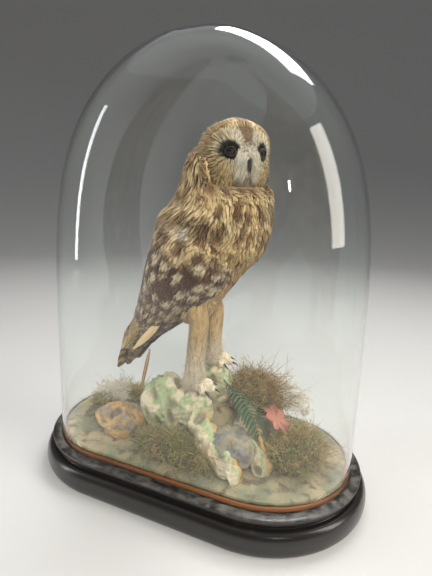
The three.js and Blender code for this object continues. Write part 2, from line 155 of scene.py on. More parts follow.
def closed_grid_faces(rows, columns):
    """A wrapped grid with a flat face over its first and its last row."""
    last = (rows - 1) * columns
    return grid_faces(rows, columns) + [list(range(columns))[::-1], list(range(last, last + columns))]


def bundle_faces(count, rows, ring):
    """Faces of many tubes at once: each has rows of ring points, wrapped, and is closed at both ends."""
    one = np.array(grid_faces(rows, ring))
    shift = (np.arange(count) * rows * ring)[:, None, None]
    quads = (one[None] + shift).reshape(-1, 4)
    foot = np.arange(ring)[::-1][None] + shift[:, 0]
    tip = (np.arange(ring) + (rows - 1) * ring)[None] + shift[:, 0]
    return quads.tolist() + foot.tolist() + tip.tolist()


def show(piece, slot, *nodes):
    """Rides the piece on the one body and stands it in for its solid nodes. The slot is not used."""
    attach(piece, "root")
    if nodes:
        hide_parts(*nodes)
    print(f"{piece.name}: {len(piece.data.polygons)} faces")
    return piece


# %% [markdown]
# ## Helpers for finishes
# A finish is a small graph of shader nodes. These helpers only save typing: one adds a node and
# wires its inputs, one makes a ramp from named stops, and one starts a material.

# %% Shader helpers
def material(name, roughness=0.6, **sockets):
    """A new material and its main shader, with constant values set on the shader's own sockets."""
    made = bpy.data.materials.new(name)
    made.use_nodes = True
    shader = made.node_tree.nodes["Principled BSDF"]
    shader.inputs["Roughness"].default_value = roughness
    for key, value in sockets.items():
        shader.inputs[key.replace("_", " ")].default_value = value
    return made, shader


def node(made, kind, inputs=None, **settings):
    """Adds a node; each input is a socket to link or a value to set."""
    added = made.node_tree.nodes.new(kind)
    for key, value in settings.items():
        setattr(added, key, value)
    for key, value in (inputs or {}).items():
        if isinstance(value, bpy.types.NodeSocket):
            made.node_tree.links.new(value, added.inputs[key])
        else:
            added.inputs[key].default_value = value
    return added


def maths(made, operation, a, b=0.0, c=0.0, clamp=False):
    """One step of arithmetic."""
    return node(made, "ShaderNodeMath", {0: a, 1: b, 2: c}, operation=operation, use_clamp=clamp).outputs[0]


def smooth_step(made, value, low, high):
    """0 below low and 1 above high, smoothly."""
    return node(made, "ShaderNodeMapRange", {"Value": value, "From Min": low, "From Max": high},
                interpolation_type="SMOOTHSTEP").outputs["Result"]


def blend(made, share, a, b):
    """Mixes two colours by a share from 0 to 1."""
    mixer = node(made, "ShaderNodeMix", data_type="RGBA")
    for socket, value in ((mixer.inputs[0], share), (mixer.inputs[6], a), (mixer.inputs[7], b)):
        if isinstance(value, bpy.types.NodeSocket):
            made.node_tree.links.new(value, socket)
        else:
            socket.default_value = value if isinstance(value, float) else (*value, 1.0)
    return mixer.outputs[2]


def object_noise(made, scale, detail=3.0, stretch=(1, 1, 1), distortion=0.0):
    """Noise that is fixed in the object, in metres."""
    place = node(made, "ShaderNodeTexCoord").outputs["Object"]
    place = node(made, "ShaderNodeMapping", {"Vector": place, "Scale": stretch}).outputs[0]
    return node(made, "ShaderNodeTexNoise", {"Vector": place, "Scale": scale, "Detail": detail,
                                             "Distortion": distortion}).outputs["Fac"]


def link(made, source, shader, socket):
    """Wires a worked-out value to the main shader."""
    made.node_tree.links.new(source, shader.inputs[socket])


def bump(made, shader, height, strength, distance):
    """Fine relief that is too small for the mesh."""
    node_out = node(made, "ShaderNodeBump", {"Height": height, "Strength": strength, "Distance": distance})
    link(made, node_out.outputs[0], shader, "Normal")


# %% [markdown]
# ## The base: ebonised wood
# Victorian dome stands were turned or run in cheap wood and stained black. The polish has gone
# soft: the big half-round at the foot still has a broad grey sheen, the top step is rubbed and
# dusty. The black is a dark brown under a thin coat, and wear is noise that only shows on the
# faces that point up and at the rim.

# %% Black polish
ebony, shader = material("ebonised_wood", 0.34, Coat_Weight=0.35, Coat_Roughness=0.22)
grain = object_noise(ebony, 60.0, 5.0, (0.12, 1.0, 1.0))
rub = object_noise(ebony, 95.0, 6.0)
facing = node(ebony, "ShaderNodeSeparateXYZ", {0: node(ebony, "ShaderNodeNewGeometry").outputs["Normal"]})
height = node(ebony, "ShaderNodeSeparateXYZ", {0: node(ebony, "ShaderNodeTexCoord").outputs["Object"]})
on_top = smooth_step(ebony, height.outputs["Z"], 0.0385, 0.0405)
worn = maths(ebony, "MULTIPLY", smooth_step(ebony, rub, 0.36, 0.66), on_top)
scuffed = maths(ebony, "MULTIPLY", smooth_step(ebony, object_noise(ebony, 40.0, 6.0), 0.6, 0.78),
                smooth_step(ebony, facing.outputs["Z"], 0.1, 0.8))
wear = maths(ebony, "MAXIMUM", maths(ebony, "MULTIPLY", worn, 0.85), maths(ebony, "MULTIPLY", scuffed, 0.35))
black = blend(ebony, grain, (0.008, 0.007, 0.006), (0.018, 0.015, 0.013))
link(ebony, blend(ebony, wear, black, (0.115, 0.105, 0.092)), shader, "Base Color")
link(ebony, maths(ebony, "ADD", maths(ebony, "MULTIPLY", wear, 0.4), 0.3), shader, "Roughness")
bump(ebony, shader, grain, 0.25, 0.0004)

# %% Oval mouldings
STRAIGHT = 0.093       # half of the oval's straight side
GLASS_RADIUS = 0.1075  # outer radius of the dome's round ends
BASE_HEIGHT = 0.0416
BOARD_TOP = 0.0472
AROUND = 160


def oval(radius, straight=STRAIGHT, count=AROUND):
    """Points of the oval outline, (radius..., count, 2): half circles of the radius, moved apart."""
    angle = 2 * np.pi * (np.arange(count) + 0.5) / count
    radius = np.asarray(radius, float)[..., None]
    shift = np.asarray(straight, float)[..., None] if np.ndim(straight) else straight
    return np.stack([radius * np.cos(angle) + np.sign(np.cos(angle)) * shift, radius * np.sin(angle)], -1)


def moulding(profile):
    """A profile of radius and height pairs in millimetres, carried round the oval."""
    radius, z = np.array(profile, float).T * MM
    ring = oval(radius)
    return np.concatenate([ring, np.broadcast_to(z[:, None, None], ring.shape[:2] + (1,))], -1)


swing = np.linspace(0, np.pi, 25)
foot_profile = np.stack([118.4 + 9.6 * np.sin(swing) ** 0.8, 29.4 * (0.5 - 0.5 * np.cos(swing)) ** 1.08], -1)
foot_profile = np.concatenate([[[60, 0]], foot_profile, [[60, 29.4]]])
foot = moulding(foot_profile)
show(new_object("base_moulding", foot, closed_grid_faces(*foot.shape[:2]), ebony), "ebonised_wood", "base_foot")

cove = np.linspace(0, np.pi, 7)
neck_profile = np.stack([116.6 - 1.8 * np.sin(cove), 29.6 + 2.9 * cove / np.pi], -1)
neck_ring = moulding(np.concatenate([[[60, 29.6]], neck_profile, [[60, 32.5]]]))
show(new_object("base_quirk", neck_ring, closed_grid_faces(*neck_ring.shape[:2]), ebony), "ebonised_wood",
     "base_neck")

step_profile = [(60, 32.6), (117.2, 32.6), (118.2, 33.2), (118.9, 34.6), (119.3, 37), (119.8, 39.2), (119.9, 40.1),
                (119.5, 40.7), (118.6, 41.1), (116.0, 41.45), (112.5, 41.6), (109.1, 41.6), (108.5, 41.3),
                (108.4, 38.6), (104.1, 38.6), (104.1, 41.3), (103.8, 41.6), (60, 41.6)]
step = moulding(step_profile)
show(new_object("base_step", step, closed_grid_faces(*step.shape[:2]), ebony), "ebonised_wood", "base_top")

# %% [markdown]
# ## The board inside the glass
# A thin raised board keeps the dome in its place. Its edge was never stained, and is the rust-brown
# line that runs round inside the foot of the glass.

# %% Bare wood
bare, shader = material("bare_wood", 0.62)
strand = object_noise(bare, 90.0, 6.0, (0.15, 0.15, 1.0))
link(bare, blend(bare, strand, (0.15, 0.050, 0.013), (0.27, 0.105, 0.033)), shader, "Base Color")
bump(bare, shader, strand, 0.3, 0.0005)
board = moulding([(60, 41.8), (103.4, 41.8), (104.0, 42.3), (104.3, 43.2), (104.3, 46.0), (104.0, 46.8),
                  (103.2, 47.2), (60, 47.2)])
show(new_object("raised_board", board, closed_grid_faces(*board.shape[:2]), bare), "bare_wood", "ground_board")

# %% [markdown]
# ## The dome
# A blown dome is upright for a third of its height and then closes in a blunt curve. Across the ends
# and up the height that curve is a superellipse: a power of the rise and a power of the reach add up
# to one. The glass has two faces a few millimetres apart, joined at the foot, and bends light at both.
# Lamps shine straight through it, because bent light paths would leave the owl dark.

# %% Blown glass
glass, shader = material("dome_glass", 0.015, Transmission_Weight=1.0, IOR=1.45)
shader.inputs["Base Color"].default_value = (0.965, 0.985, 0.975, 1.0)


def dome_face(inset, rows=44):
    """Rings of one face of the glass: upright, then reach = cos(angle) to a power and rise = sin(angle)
    to a power, with the straight side shrinking faster than the round ends."""
    foot, spring, top = BASE_HEIGHT - 0.0026, 0.162, 0.545
    angle = np.linspace(0, np.pi / 2 * 0.995, rows)
    rise = np.sin(angle) ** (2 / 3.795)
    reach = np.cos(angle) ** (2 / 2.66)
    upright = np.linspace(foot, spring, 8)[:-1]
    z = np.concatenate([upright, spring + (top - inset - spring) * rise])
    reach = np.concatenate([np.ones(7), reach])
    ring = oval((GLASS_RADIUS - inset) * reach, STRAIGHT * reach ** 2.2, 128)
    return np.concatenate([ring, np.broadcast_to(z[:, None, None], ring.shape[:2] + (1,))], -1)


outer, inner = dome_face(0.0), dome_face(0.0026)
dome_points = np.concatenate([inner[::-1], outer])
dome_piece = new_object("glass_dome_blown", dome_points, closed_grid_faces(*dome_points.shape[:2]), glass)
dome_piece.visible_shadow = False
show(dome_piece, "dome_glass", "glass_dome")

# %% [markdown]
# ## Bundles of blades and strands
# A feather, a fern leaflet and a blade of grass are the same shape: a thin lens that follows a
# midline. A hair or a moss fibre is a tube that does. Thousands of them are made at once here: the
# midlines are one array of (count, rows, 3), and every ring of points is worked out from it.

# %% Blades and strands
def blades(middle, normal, half, thick, ring=8, camber=0.0):
    """Lens-shaped strips round many midlines (count, rows, 3): a ring point is the midline plus the side
    direction times half-width times cosine, plus the upward direction times thickness times sine, with
    both edges bent down by the camber times the half-width."""
    along = unit(np.gradient(middle, axis=1))
    side = unit(np.cross(along, normal))
    upward = np.cross(side, along)
    angle = 2 * np.pi * np.arange(ring) / ring
    across = np.cos(angle)
    rise = -np.sin(angle) * thick[..., None] / 2 - camber * half[..., None] * across ** 2
    return (middle[:, :, None] + side[:, :, None] * (half[..., None] * across)[..., None]
            + upward[:, :, None] * rise[..., None])


def vane_map(count, rows, ring):
    """A map of each blade: across from 0 to 1, and along from 0 at the root to 1 at the tip."""
    across = 0.5 + 0.5 * np.cos(2 * np.pi * np.arange(ring) / ring)
    along = np.linspace(0, 1, rows)
    x, y = np.broadcast_to(across, (rows, ring)), np.broadcast_to(along[:, None], (rows, ring))
    return np.broadcast_to(np.stack([x, y], -1), (count, rows, ring, 2))


PATCH = 0.003          # size of one blade's patch on the map of the skin


def root_map(root, rows, ring):
    """A map with each blade as a small patch round the place of its root on the skin's own unwrap."""
    return np.clip(root, 0.004, 0.996)[:, None, None] + PATCH * (vane_map(len(root), rows, ring) - 0.5)


def per_blade(value, rows, ring):
    """A colour of each blade, repeated for all of its points."""
    value = np.concatenate([value, np.ones((len(value), 4 - value.shape[1]))], 1)
    return np.broadcast_to(value[:, None, None], (len(value), rows, ring, 4))


def strands(root, direction, length, radius, bend, rows=4, ring=3):
    """Tapering tubes: the midline is the root, plus the direction times length times share, plus the
    bend times length times share squared. The radius falls to a sixth at the tip."""
    share = np.linspace(0, 1, rows)[None, :, None]
    middle = root[:, None] + length[:, None, None] * (direction[:, None] * share + bend[:, None] * share ** 2)
    normal = unit(np.cross(direction, bend + 1e-4))[:, None] * np.ones((1, rows, 1))
    half = radius[:, None] * (1 - 0.83 * np.linspace(0, 1, rows)) * np.ones((len(root), 1))
    return blades(middle, normal, half, 2 * half, ring)


def hair_object(name, parts, slot, finish, unwrap, tint, *nodes):
    """Joins strands (count, rows, ring, 3) into one piece whose colour is the tint of each strand."""
    count, rows, ring = parts.shape[:3]
    shade = per_blade(tint, rows, ring)
    return show(new_object(name, parts, bundle_faces(count, rows, ring), finish,
                           {"vane": vane_map(count, rows, ring), "OFBake": root_map(unwrap, rows, ring)},
                           {"tint": shade}), slot, *nodes)


# %% [markdown]
# ## The owl's outer form
# The bird's plumage ends on a few smooth surfaces: trunk and neck are sections laid across a bent
# path, the head is a ball with a flattened face, a wing is a blade wrapped round the side. Each
# is a function of two parameters here, in the same measures as the solid model. Skin lies inside
# it by the depth of the plumage, and the feathers' tips come up to it.

# %% Trunk, legs and head as functions
LEAN = 27.0
BODY = [(-24, 0, 204, 22, 24, LEAN), (-18, 0, 232, 36, 37, LEAN), (-12, 0, 262, 47, 46, LEAN),
        (0, 0, 296, 58, 52, LEAN), (17, 0, 326, 65, 55, 20), (26, 0, 350, 61, 55, 12), (28, 0, 373, 56, 49, 5),
        (22, -2, 393, 45, 42, 0), (16, -4, 412, 32, 33, -6), (18, -4, 430, 20, 22, -6)]
TAIL = [(-38, 0, 236, 17, 26, LEAN), (-64, 0, 208, 15, 26, LEAN), (-90, 0, 180, 10, 27, LEAN),
        (-106, 0, 152, 7, 28, 20), (-113, 0, 126, 4, 26, 10)]
FEET = {"right": (4, -23, 121.5), "left": (8, 22, 142.5)}
SIDES = {"right": -1, "left": 1}


def leg_stations(side):
    """Stations of a leg, from the thigh inside the belly down to the ankle."""
    x, y, z = FEET[side]
    return [(4, SIDES[side] * 22, 236, 15, 13, LEAN), (8, SIDES[side] * 22.5, 208, 9, 9, 14),
            ((x + 6) / 2, (y + SIDES[side] * 23) / 2, z + 0.55 * (196 - z), 8.5, 8.5, 0),
            (x, y, z + 12, 9.5, 9.5, 0)]


def limb(stations, start, end):
    """Oval sections across a smooth path: a point is the path, plus depth times cosine along the
    section's dip, plus width times sine sideways, both less by the inset."""
    def at(t, angle, inset=0.0):
        x, y, z, depth, width, tilt = np.moveaxis(through(stations, t), -1, 0)
        size = round_ends(np.clip(t, 0, 1), start, end)
        fore = np.maximum(depth * size - inset, 0.3) * np.cos(angle)
        sideways = np.maximum(width * size - inset, 0.3) * np.sin(angle)
        tilt = np.radians(tilt)
        return np.stack([x + fore * np.cos(tilt), y + sideways, z - fore * np.sin(tilt)], -1) * MM
    return at


trunk_at = limb(BODY, 0.08, 0.12)
tail_at = limb(TAIL, 0.25, 0.06)
leg_at = {side: limb(leg_stations(side), 0.3, 0.08) for side in SIDES}

HEAD_AT = np.array([40.0, -3.0, 410.0])
HEAD_TURN = math.radians(-37)
HEAD_HALF = np.array([36.0, 40.0, 39.5])
EYE_AT = np.array([21.5, 19.3, 0.8])
EYE_RADIUS = 7.6


def from_head(local):
    """Turns a place given forward, left and up from the middle of the head, in mm, into the frame."""
    x, y, z = np.moveaxis(np.asarray(local, float), -1, 0)
    c, s = math.cos(HEAD_TURN), math.sin(HEAD_TURN)
    return (np.stack([c * x - s * y, s * x + c * y, z], -1) + HEAD_AT) * MM


def head_local(direction, inset=0.0):
    """The head's surface in mm for a direction: the ball's point, pressed flat in front, raised along
    the bill's ridge and hollowed round each eye."""
    p = unit(direction) * (HEAD_HALF - inset)
    x, y, z = np.moveaxis(p, -1, 0)
    front = np.where(x > 12, 12 + (x - 12) * 0.68, x)
    ridge = 5 * np.exp(-(y ** 2 + (z / 2 + 2) ** 2) / 64)
    hollow = sum(3.5 * np.exp(-((y - side * EYE_AT[1]) ** 2 + (z - EYE_AT[2]) ** 2) / 81) for side in (1, -1))
    return np.stack([front + (ridge - hollow) * ease(10, 16, x), y, z], -1)


WING = [(16, 328, 57, 52, 4, 52, 128), (10, 316, 59, 54, 10, 24, 147), (2, 301, 60, 55, 13, 12, 152),
        (-10, 280, 57, 53, 14, 8, 153), (-26, 253, 50, 46, 14, 8, 148), (-45, 225, 40, 36, 12, 8, 149),
        (-70, 194, 26, 26, 9, 8, 146), (-88, 168, 18, 20, 7, 8, 134), (-98, 148, 12, 15, 5, 10, 120),
        (-105, 132, 8, 11, 3, 20, 90)]


def wing(side):
    """A folded wing: a sheet wrapped round the side of the body between two angles from the spine,
    with half its thickness outwards; t runs from the shoulder to the tip, share from spine to breast."""
    def at(t, share, outward=1.0):
        x, z, deep, wide, thick, start, end = np.moveaxis(through(WING, t), -1, 0)
        angle = np.radians(start + (end - start) * share)
        swell = outward * thick * np.sin(np.pi * (0.08 + 0.84 * np.clip(share, 0, 1))) / 2
        fore = -(deep + swell) * np.cos(angle)
        lean = math.radians(LEAN)
        return np.stack([x + fore * math.cos(lean), side * (wide + swell) * np.sin(angle),
                         z - fore * math.sin(lean)], -1) * MM
    return at


wing_at = {side: wing(sign) for side, sign in SIDES.items()}
print("trunk at its widest, mm:", np.round(1000 * trunk_at(0.5, np.array([0, np.pi / 2])), 1).tolist())

# %% [markdown]
# ## Plumage colours
# A short-eared owl is cream and buff. Broad brown streaks run down breast and nape, and the wing is
# dark with pale spots. The coat is made of thousands of narrow locks, and each corner of a lock gets
# its colour from its place on the bird, so a marking spreads over many locks and has a soft, streaky
# edge, as real plumage has. The shader reads that colour and adds the barbs, which are fine
# stripes along the lock.

# %% Palette and finish
CREAM = np.array([0.60, 0.46, 0.25])
BUFF = np.array([0.47, 0.30, 0.115])
WHITE = np.array([0.66, 0.60, 0.48])
GREY = np.array([0.32, 0.29, 0.24])
TAN = np.array([0.22, 0.115, 0.045])
BROWN = np.array([0.085, 0.037, 0.014])
UMBER = np.array([0.036, 0.016, 0.007])
BLACK = np.array([0.008, 0.006, 0.005])


def feather_finish(name, roughness=0.7, stripes=(5.0, 2.0), contrast=0.5):
    """The colour of the corner, times fine stripes along the lock, which are noise stretched along it."""
    made, shader = material(name, roughness, Sheen_Weight=0.2, Sheen_Roughness=0.5, Specular_IOR_Level=0.2)
    place = node(made, "ShaderNodeUVMap", uv_map="vane").outputs[0]
    tint = node(made, "ShaderNodeAttribute", attribute_name="tint").outputs["Color"]
    stretched = node(made, "ShaderNodeMapping", {"Vector": place, "Scale": (*stripes, 1.0)}).outputs[0]
    shift = node(made, "ShaderNodeTexCoord").outputs["Object"]
    stretched = node(made, "ShaderNodeVectorMath", {0: stretched, 1: node(
        made, "ShaderNodeVectorMath", {0: shift, 1: (90.0, 90.0, 90.0)}, operation="MULTIPLY").outputs[0]},
        operation="ADD").outputs[0]
    barbs = node(made, "ShaderNodeTexNoise", {"Vector": stretched, "Scale": 1.0, "Detail": 3.0}).outputs["Fac"]
    shade = maths(made, "MULTIPLY_ADD", barbs, contrast, 1.0 - 0.5 * contrast)
    tone = node(made, "ShaderNodeCombineColor", {0: shade, 1: shade, 2: shade}).outputs[0]
    both = node(made, "ShaderNodeMix", data_type="RGBA", blend_type="MULTIPLY")
    both.inputs[0].default_value = 1.0
    made.node_tree.links.new(tint, both.inputs[6])
    made.node_tree.links.new(tone, both.inputs[7])
    link(made, both.outputs[2], shader, "Base Color")
    bump(made, shader, barbs, 0.3, 0.0004)
    return made


plumage = feather_finish("streaked_plumage", contrast=0.35)
flight = feather_finish("flight_feathers", 0.6, (3.0, 12.0), 0.6)
face_coat = feather_finish("face_feathers", 0.75, (3.0, 1.0), 0.6)
buff_coat = feather_finish("buff_feathers", 0.8, (4.0, 1.5), 0.7)


# %% Markings as fields
def mixed(a, b, share):
    """Mixes colours by a share for each place."""
    share = np.clip(np.asarray(share), 0, 1)[..., None]
    return np.asarray(a) * (1 - share) + np.asarray(b) * share


def dice(i, j, seed):
    """A number from 0 to 1 that depends only on a cell and the seed: the fraction of a large sine."""
    value = np.sin(i * 12.9898 + j * 78.233 + seed * 37.719) * 43758.5453
    return value - np.floor(value)


def blotches(along, across, cell, half, seed, keep=1.0, soft=0.35):
    """Soft ovals, one in each cell of a staggered grid: 1 inside, 0 outside, and an S-curve between. cell
    and half are lengths along and across in mm; place and size of each oval are thrown by dice."""
    row = np.floor(along / cell[0])
    shifted = across / cell[1] + 0.5 * (row % 2)
    column = np.floor(shifted)
    u = (along / cell[0] - row - 0.5 - 0.3 * (dice(row, column, seed) - 0.5)) * cell[0] / half[0]
    v = (shifted - column - 0.5 - 0.4 * (dice(row, column, seed + 1) - 0.5)) * cell[1] / half[1]
    size = 0.75 + 0.5 * dice(row, column, seed + 2)
    inside = 1 - ease(1 - soft, 1 + soft, np.hypot(u, v) / size)
    return inside * (dice(row, column, seed + 3) < keep)


def body_ground(p):
    """The ground colour at places in mm: cream above, buff on the belly, whitish toward the feet."""
    x, z = p[..., 0], p[..., 2]
    cloud = 0.5 + 0.5 * noise(p, 46.0, 3, 2)
    color = mixed(CREAM, BUFF * 1.15, 0.8 * ease(320, 275, z) * ease(-30, 20, x + 0.4 * (z - 250)))
    color = mixed(color, BUFF, 0.45 * cloud)
    return mixed(color, WHITE, ease(200, 135, z) * 0.85)


# %% [markdown]
# ## How a feather lies
# A feather's root is in the skin and its tip lies on the feathers behind it, like a roof tile. So its
# midline starts sunk by the depth of the plumage, follows the body's surface along the lie, and comes
# up to the outer form at the tip. Roots stand in staggered rows, and small random changes of length,
# turn and lift keep the coat from looking like scales.

# %% Feathers on a surface
def outline(share, blunt=0.6):
    """Half-width of a feather along its length: narrow at the root, full from the middle, and rounded
    over the last part of it."""
    tip = np.clip((share - 1 + blunt) / blunt, 0, 1)
    return (0.5 + 0.5 * ease(0.0, 0.4, share)) * np.sqrt(np.maximum(1 - tip ** 2.2, 0.006))


def coat(name, finish, surface, normal, root, run, width, depth, lift, tint, unwrap,
         rows=6, ring=5, camber=0.18, rag=0.15, thick=0.35, blunt=0.6, across_unit=None):
    """Feathers of one piece. root and run are places and lengths in the surface's own parameters; width,
    depth and lift are in mm, one for each feather. The height over the surface is minus the depth
    times (1 - share) to the power 1.5, plus the lift times share squared. tint gives the colour for
    parameters and share; across_unit is the length in metres that the second parameter covers."""
    share = np.linspace(0, 1, rows)
    count = len(root)
    path = root[:, None] + run[:, None] * share[None, :, None]
    facing = normal(path)
    height = -depth[:, None] * (1 - share) ** 1.5 + lift[:, None] * share ** 2
    middle = surface(path) + facing * height[..., None] * MM
    half = width[:, None] / 2 * outline(share, blunt) * MM
    half = half * (1 + rag * rng.uniform(-1, 1, half.shape))
    thickness = thick * MM * outline(share, blunt) * np.ones_like(half)
    points = blades(middle, facing, half, thickness, ring, camber)
    places = np.broadcast_to(path[:, :, None], (count, rows, ring, path.shape[-1])).copy()
    if across_unit is not None:
        edge = np.cos(2 * np.pi * np.arange(ring) / ring) * half[..., None]
        places[..., 1] += edge / across_unit[:, None, None]
    color = tint(places, points / MM, np.broadcast_to(share[None, :, None], points.shape[:3]))
    color = color * rng.uniform(0.88, 1.1, (count, 1, 1, 1))
    # Painted shade: each lock is darkened toward its root, where the locks lying over it shade it.
    color = color * (0.75 + 0.25 * ease(0.1, 0.6, share))[None, :, None, None]
    color = np.concatenate([color, np.ones(color.shape[:3] + (1,))], -1)
    return new_object(name, points, bundle_faces(count, rows, ring), finish,
                      {"vane": vane_map(count, rows, ring), "OFBake": root_map(unwrap, rows, ring)}, {"tint": color})


def two_way(surface, step=(1e-3, 1e-3), flip=1.0):
    """Wraps a function of two parameters for coat(): its place, its outward direction (the cross product
    of its two slopes), and the length in metres that one unit of each parameter covers."""
    def at(q):
        return surface(q[..., 0], q[..., 1])

    def slopes(q):
        a, b = q[..., 0], q[..., 1]
        return ((surface(a + step[0], b) - surface(a - step[0], b)) / (2 * step[0]),
                (surface(a, b + step[1]) - surface(a, b - step[1])) / (2 * step[1]))

    def normal(q):
        first, second = slopes(q)
        return unit(np.cross(second, first)) * flip

    def reach(q):
        return [np.maximum(np.linalg.norm(s, axis=-1), 0.004) for s in slopes(q)]

    return at, normal, reach


def tiles(surface, reach, first, last, row_step, side_step, span=(0.0, 2 * np.pi), jitter=0.3):
    """Staggered roots over a surface of (along, across): rows row_step mm apart from first to last, and in
    each row a root every side_step mm across the span."""
    places = []
    position, row = first, 0
    heading = np.sign(last - first)
    while (last - position) * heading > 0:
        middle = np.array([[position, (span[0] + span[1]) / 2]])
        line = np.stack([np.full(33, position), np.linspace(*span, 33)], -1)
        size = np.linalg.norm(np.diff(surface(line), axis=0), axis=1).sum()
        count = max(3, int(size / (side_step * MM)))
        across = span[0] + (span[1] - span[0]) * (np.arange(count) + 0.25 + 0.5 * (row % 2)) / count
        across = across + rng.uniform(-jitter, jitter, count) * (span[1] - span[0]) / count
        step = row_step * MM / float(reach(middle)[0][0])
        along = position + rng.uniform(-jitter, jitter, count) * step
        places.append(np.stack([along, across], -1))
        position += heading * step
        row += 1
    return np.concatenate(places)


# %% [markdown]
# ## The facial disc
# An owl's face is a shallow dish: stiff feathers radiate from each eye to a rim, the ruff, which
# stands out almost as wide as the head. It is described by sideways and upward measures from the
# middle of the face. The rim is a rounded square, and forward measure falls off towards it.

# %% The dish of the face
RIM_SIDE, RIM_UP, RIM_DOWN, FACE_MIDDLE = 41.0, 31.0, 41.0, -1.0
EYE_CENTRE = np.array([18.8, 19.3, 0.8])
CHIN = -33.0


def rim_share(y, z):
    """How far out to the rim a place is, 0 to 1: its distance over the rim's in the same direction, where
    the rim is a superellipse of power 2.8 with its own reach sideways, up and down."""
    up_reach = np.where(z > FACE_MIDDLE, RIM_UP, RIM_DOWN)
    return ((np.abs(y) / RIM_SIDE) ** 2.8 + (np.abs(z - FACE_MIDDLE) / up_reach) ** 2.8) ** (1 / 2.8)


def face_depth(y, z):
    """Forward measure of the face: 28 in the middle, less the fall to the rim times share to the power
    2.4, with the ridge of the bill and a hollow round each eye, whose brim comes up to the lids."""
    share = rim_share(y, z)
    bearing = np.arctan2(z - FACE_MIDDLE, np.abs(y))
    rim = 5 + 12 * np.clip(np.sin(bearing), 0, 1) ** 1.5 + 15 * np.clip(-np.sin(bearing), 0, 1) ** 1.5
    ridge = 4.5 * np.exp(-((y / 7) ** 2 + ((z + 3) / 13) ** 2))
    away = [np.hypot(y - s * EYE_CENTRE[1], z - EYE_CENTRE[2]) for s in (1, -1)]
    hollow = sum(3.2 * np.exp(-(d / 10) ** 2) - 2.4 * np.exp(-((d - 8) / 3.4) ** 2) for d in away)
    return 28 - (28 - rim) * share ** 2.4 + ridge - hollow


def face_at(y, z, inset=0.0):
    """A place on the face, in the frame."""
    return from_head(np.stack([face_depth(y, z) - inset, y, z], -1))


def face_plate():
    """The dish as a closed plate for the skin: rings out to the rim in front, then back to the middle
    behind, up to eighteen millimetres deeper."""
    bearing = 2 * np.pi * np.arange(72) / 72
    reach = 1 / rim_share(np.cos(bearing), np.sin(bearing) + FACE_MIDDLE)
    rings = [(share, 3.0) for share in np.linspace(0.03, 0.95, 16)] + [(0.9, 12.0), (0.5, 16.0), (0.05, 18.0)]
    return np.stack([face_at(share * reach * np.cos(bearing), FACE_MIDDLE + share * reach * np.sin(bearing), inset)
                     for share, inset in rings])[::-1]


def to_head(p):
    """Turns places of the frame in mm into forward, left and up from the middle of the head."""
    x, y, z = np.moveaxis(p - HEAD_AT, -1, 0)
    c, s = math.cos(HEAD_TURN), math.sin(HEAD_TURN)
    return np.stack([c * x + s * y, -s * x + c * y, z], -1)


def before_face(p, margin=0.0):
    """True for places in mm that lie in front of the face's dish above the chin, or less than the margin
    behind it."""
    local = to_head(p)
    return (rim_share(local[..., 1], local[..., 2]) < 1.0) & (local[..., 2] > CHIN) & (
        local[..., 0] > face_depth(local[..., 1], local[..., 2]) - margin)


# %% [markdown]
# ## The skin
# Under the feathers is one skin for trunk, neck, head, legs and toes. Each part is worked out as its
# own closed surface inside the plumage. A voxel remesh then fuses them into a single skin without a
# seam, and a light smoothing rounds the joins, as the stuffing under a real skin does.

# %% One skin from many parts
def closed_limb(surface, rows, sides, inset, first=0.02, last=0.98):
    """Rings of a limb, inset by a depth, with flat ends."""
    t, angle = np.meshgrid(np.linspace(first, last, rows), 2 * np.pi * np.arange(sides) / sides, indexing="ij")
    return surface(t, angle, inset)


def ball_directions(rows=40, sides=60):
    """Directions over a whole ball, from near one pole to near the other."""
    lift, turn_by = np.meshgrid(np.linspace(-np.pi / 2 * 0.98, np.pi / 2 * 0.98, rows),
                                2 * np.pi * np.arange(sides) / sides, indexing="ij")
    return np.stack([np.cos(lift) * np.cos(turn_by), np.cos(lift) * np.sin(turn_by), np.sin(lift)], -1)


TOES = [(-28, 25), (4, 28), (42, 24), (172, 15)]  # bearing in degrees, length in mm


def toe_at(side, bearing, length):
    """A toe's surface for (share of length, angle): round sections, 6.5 mm thick at the ankle and 4.8
    mm at the claw, over a slight arch."""
    x, y, z = FEET[side]
    heading = math.radians(bearing)

    def at(t, angle, inset=0.0):
        size = np.maximum((6.5 - 1.7 * t) * np.maximum(0.3, round_ends(np.clip(t, 0, 1), 0.14, 0.2)) - inset, 0.4)
        level, rise = size * np.cos(angle), z + 6 - t + 6 * t * (1 - t) + size * np.sin(angle)
        return np.stack([x + length * t * math.cos(heading) - level * math.sin(heading),
                         y + length * t * math.sin(heading) + level * math.cos(heading), rise], -1) * MM
    return at


def tucked_trunk(t, angle, inset=0.0):
    """The trunk, pressed back to four millimetres behind the face's dish, and let out again over the
    twenty millimetres below the chin and outside the rim."""
    local = to_head(trunk_at(t, angle, inset) / MM)
    y, z = local[..., 1], np.maximum(local[..., 2], CHIN)
    below = np.clip((CHIN - local[..., 2]) / 20, 0, 1)
    outside = np.maximum(rim_share(y, z) - 0.97, 0)
    limit = face_depth(np.clip(y, -RIM_SIDE, RIM_SIDE), z) - 4.0 - inset * 0.5 + 34 * below ** 0.85 + 90 * outside
    local[..., 0] = np.minimum(local[..., 0], limit)
    return from_head(local)


def skin_parts():
    """Point grids of all the parts of the skin."""
    yield closed_limb(tucked_trunk, 60, 72, 7.5)
    yield from_head(head_local(ball_directions(), 3.0))
    yield face_plate()
    for side in SIDES:
        yield closed_limb(leg_at[side], 40, 40, 4.0)
        x, y, z = FEET[side]
        yield (ball_directions(16, 24) * (11.0, 10.0, 6.5) + (x, y, z + 6)) * MM
        for bearing, length in TOES:
            yield closed_limb(toe_at(side, bearing, length), 12, 16, 1.3)


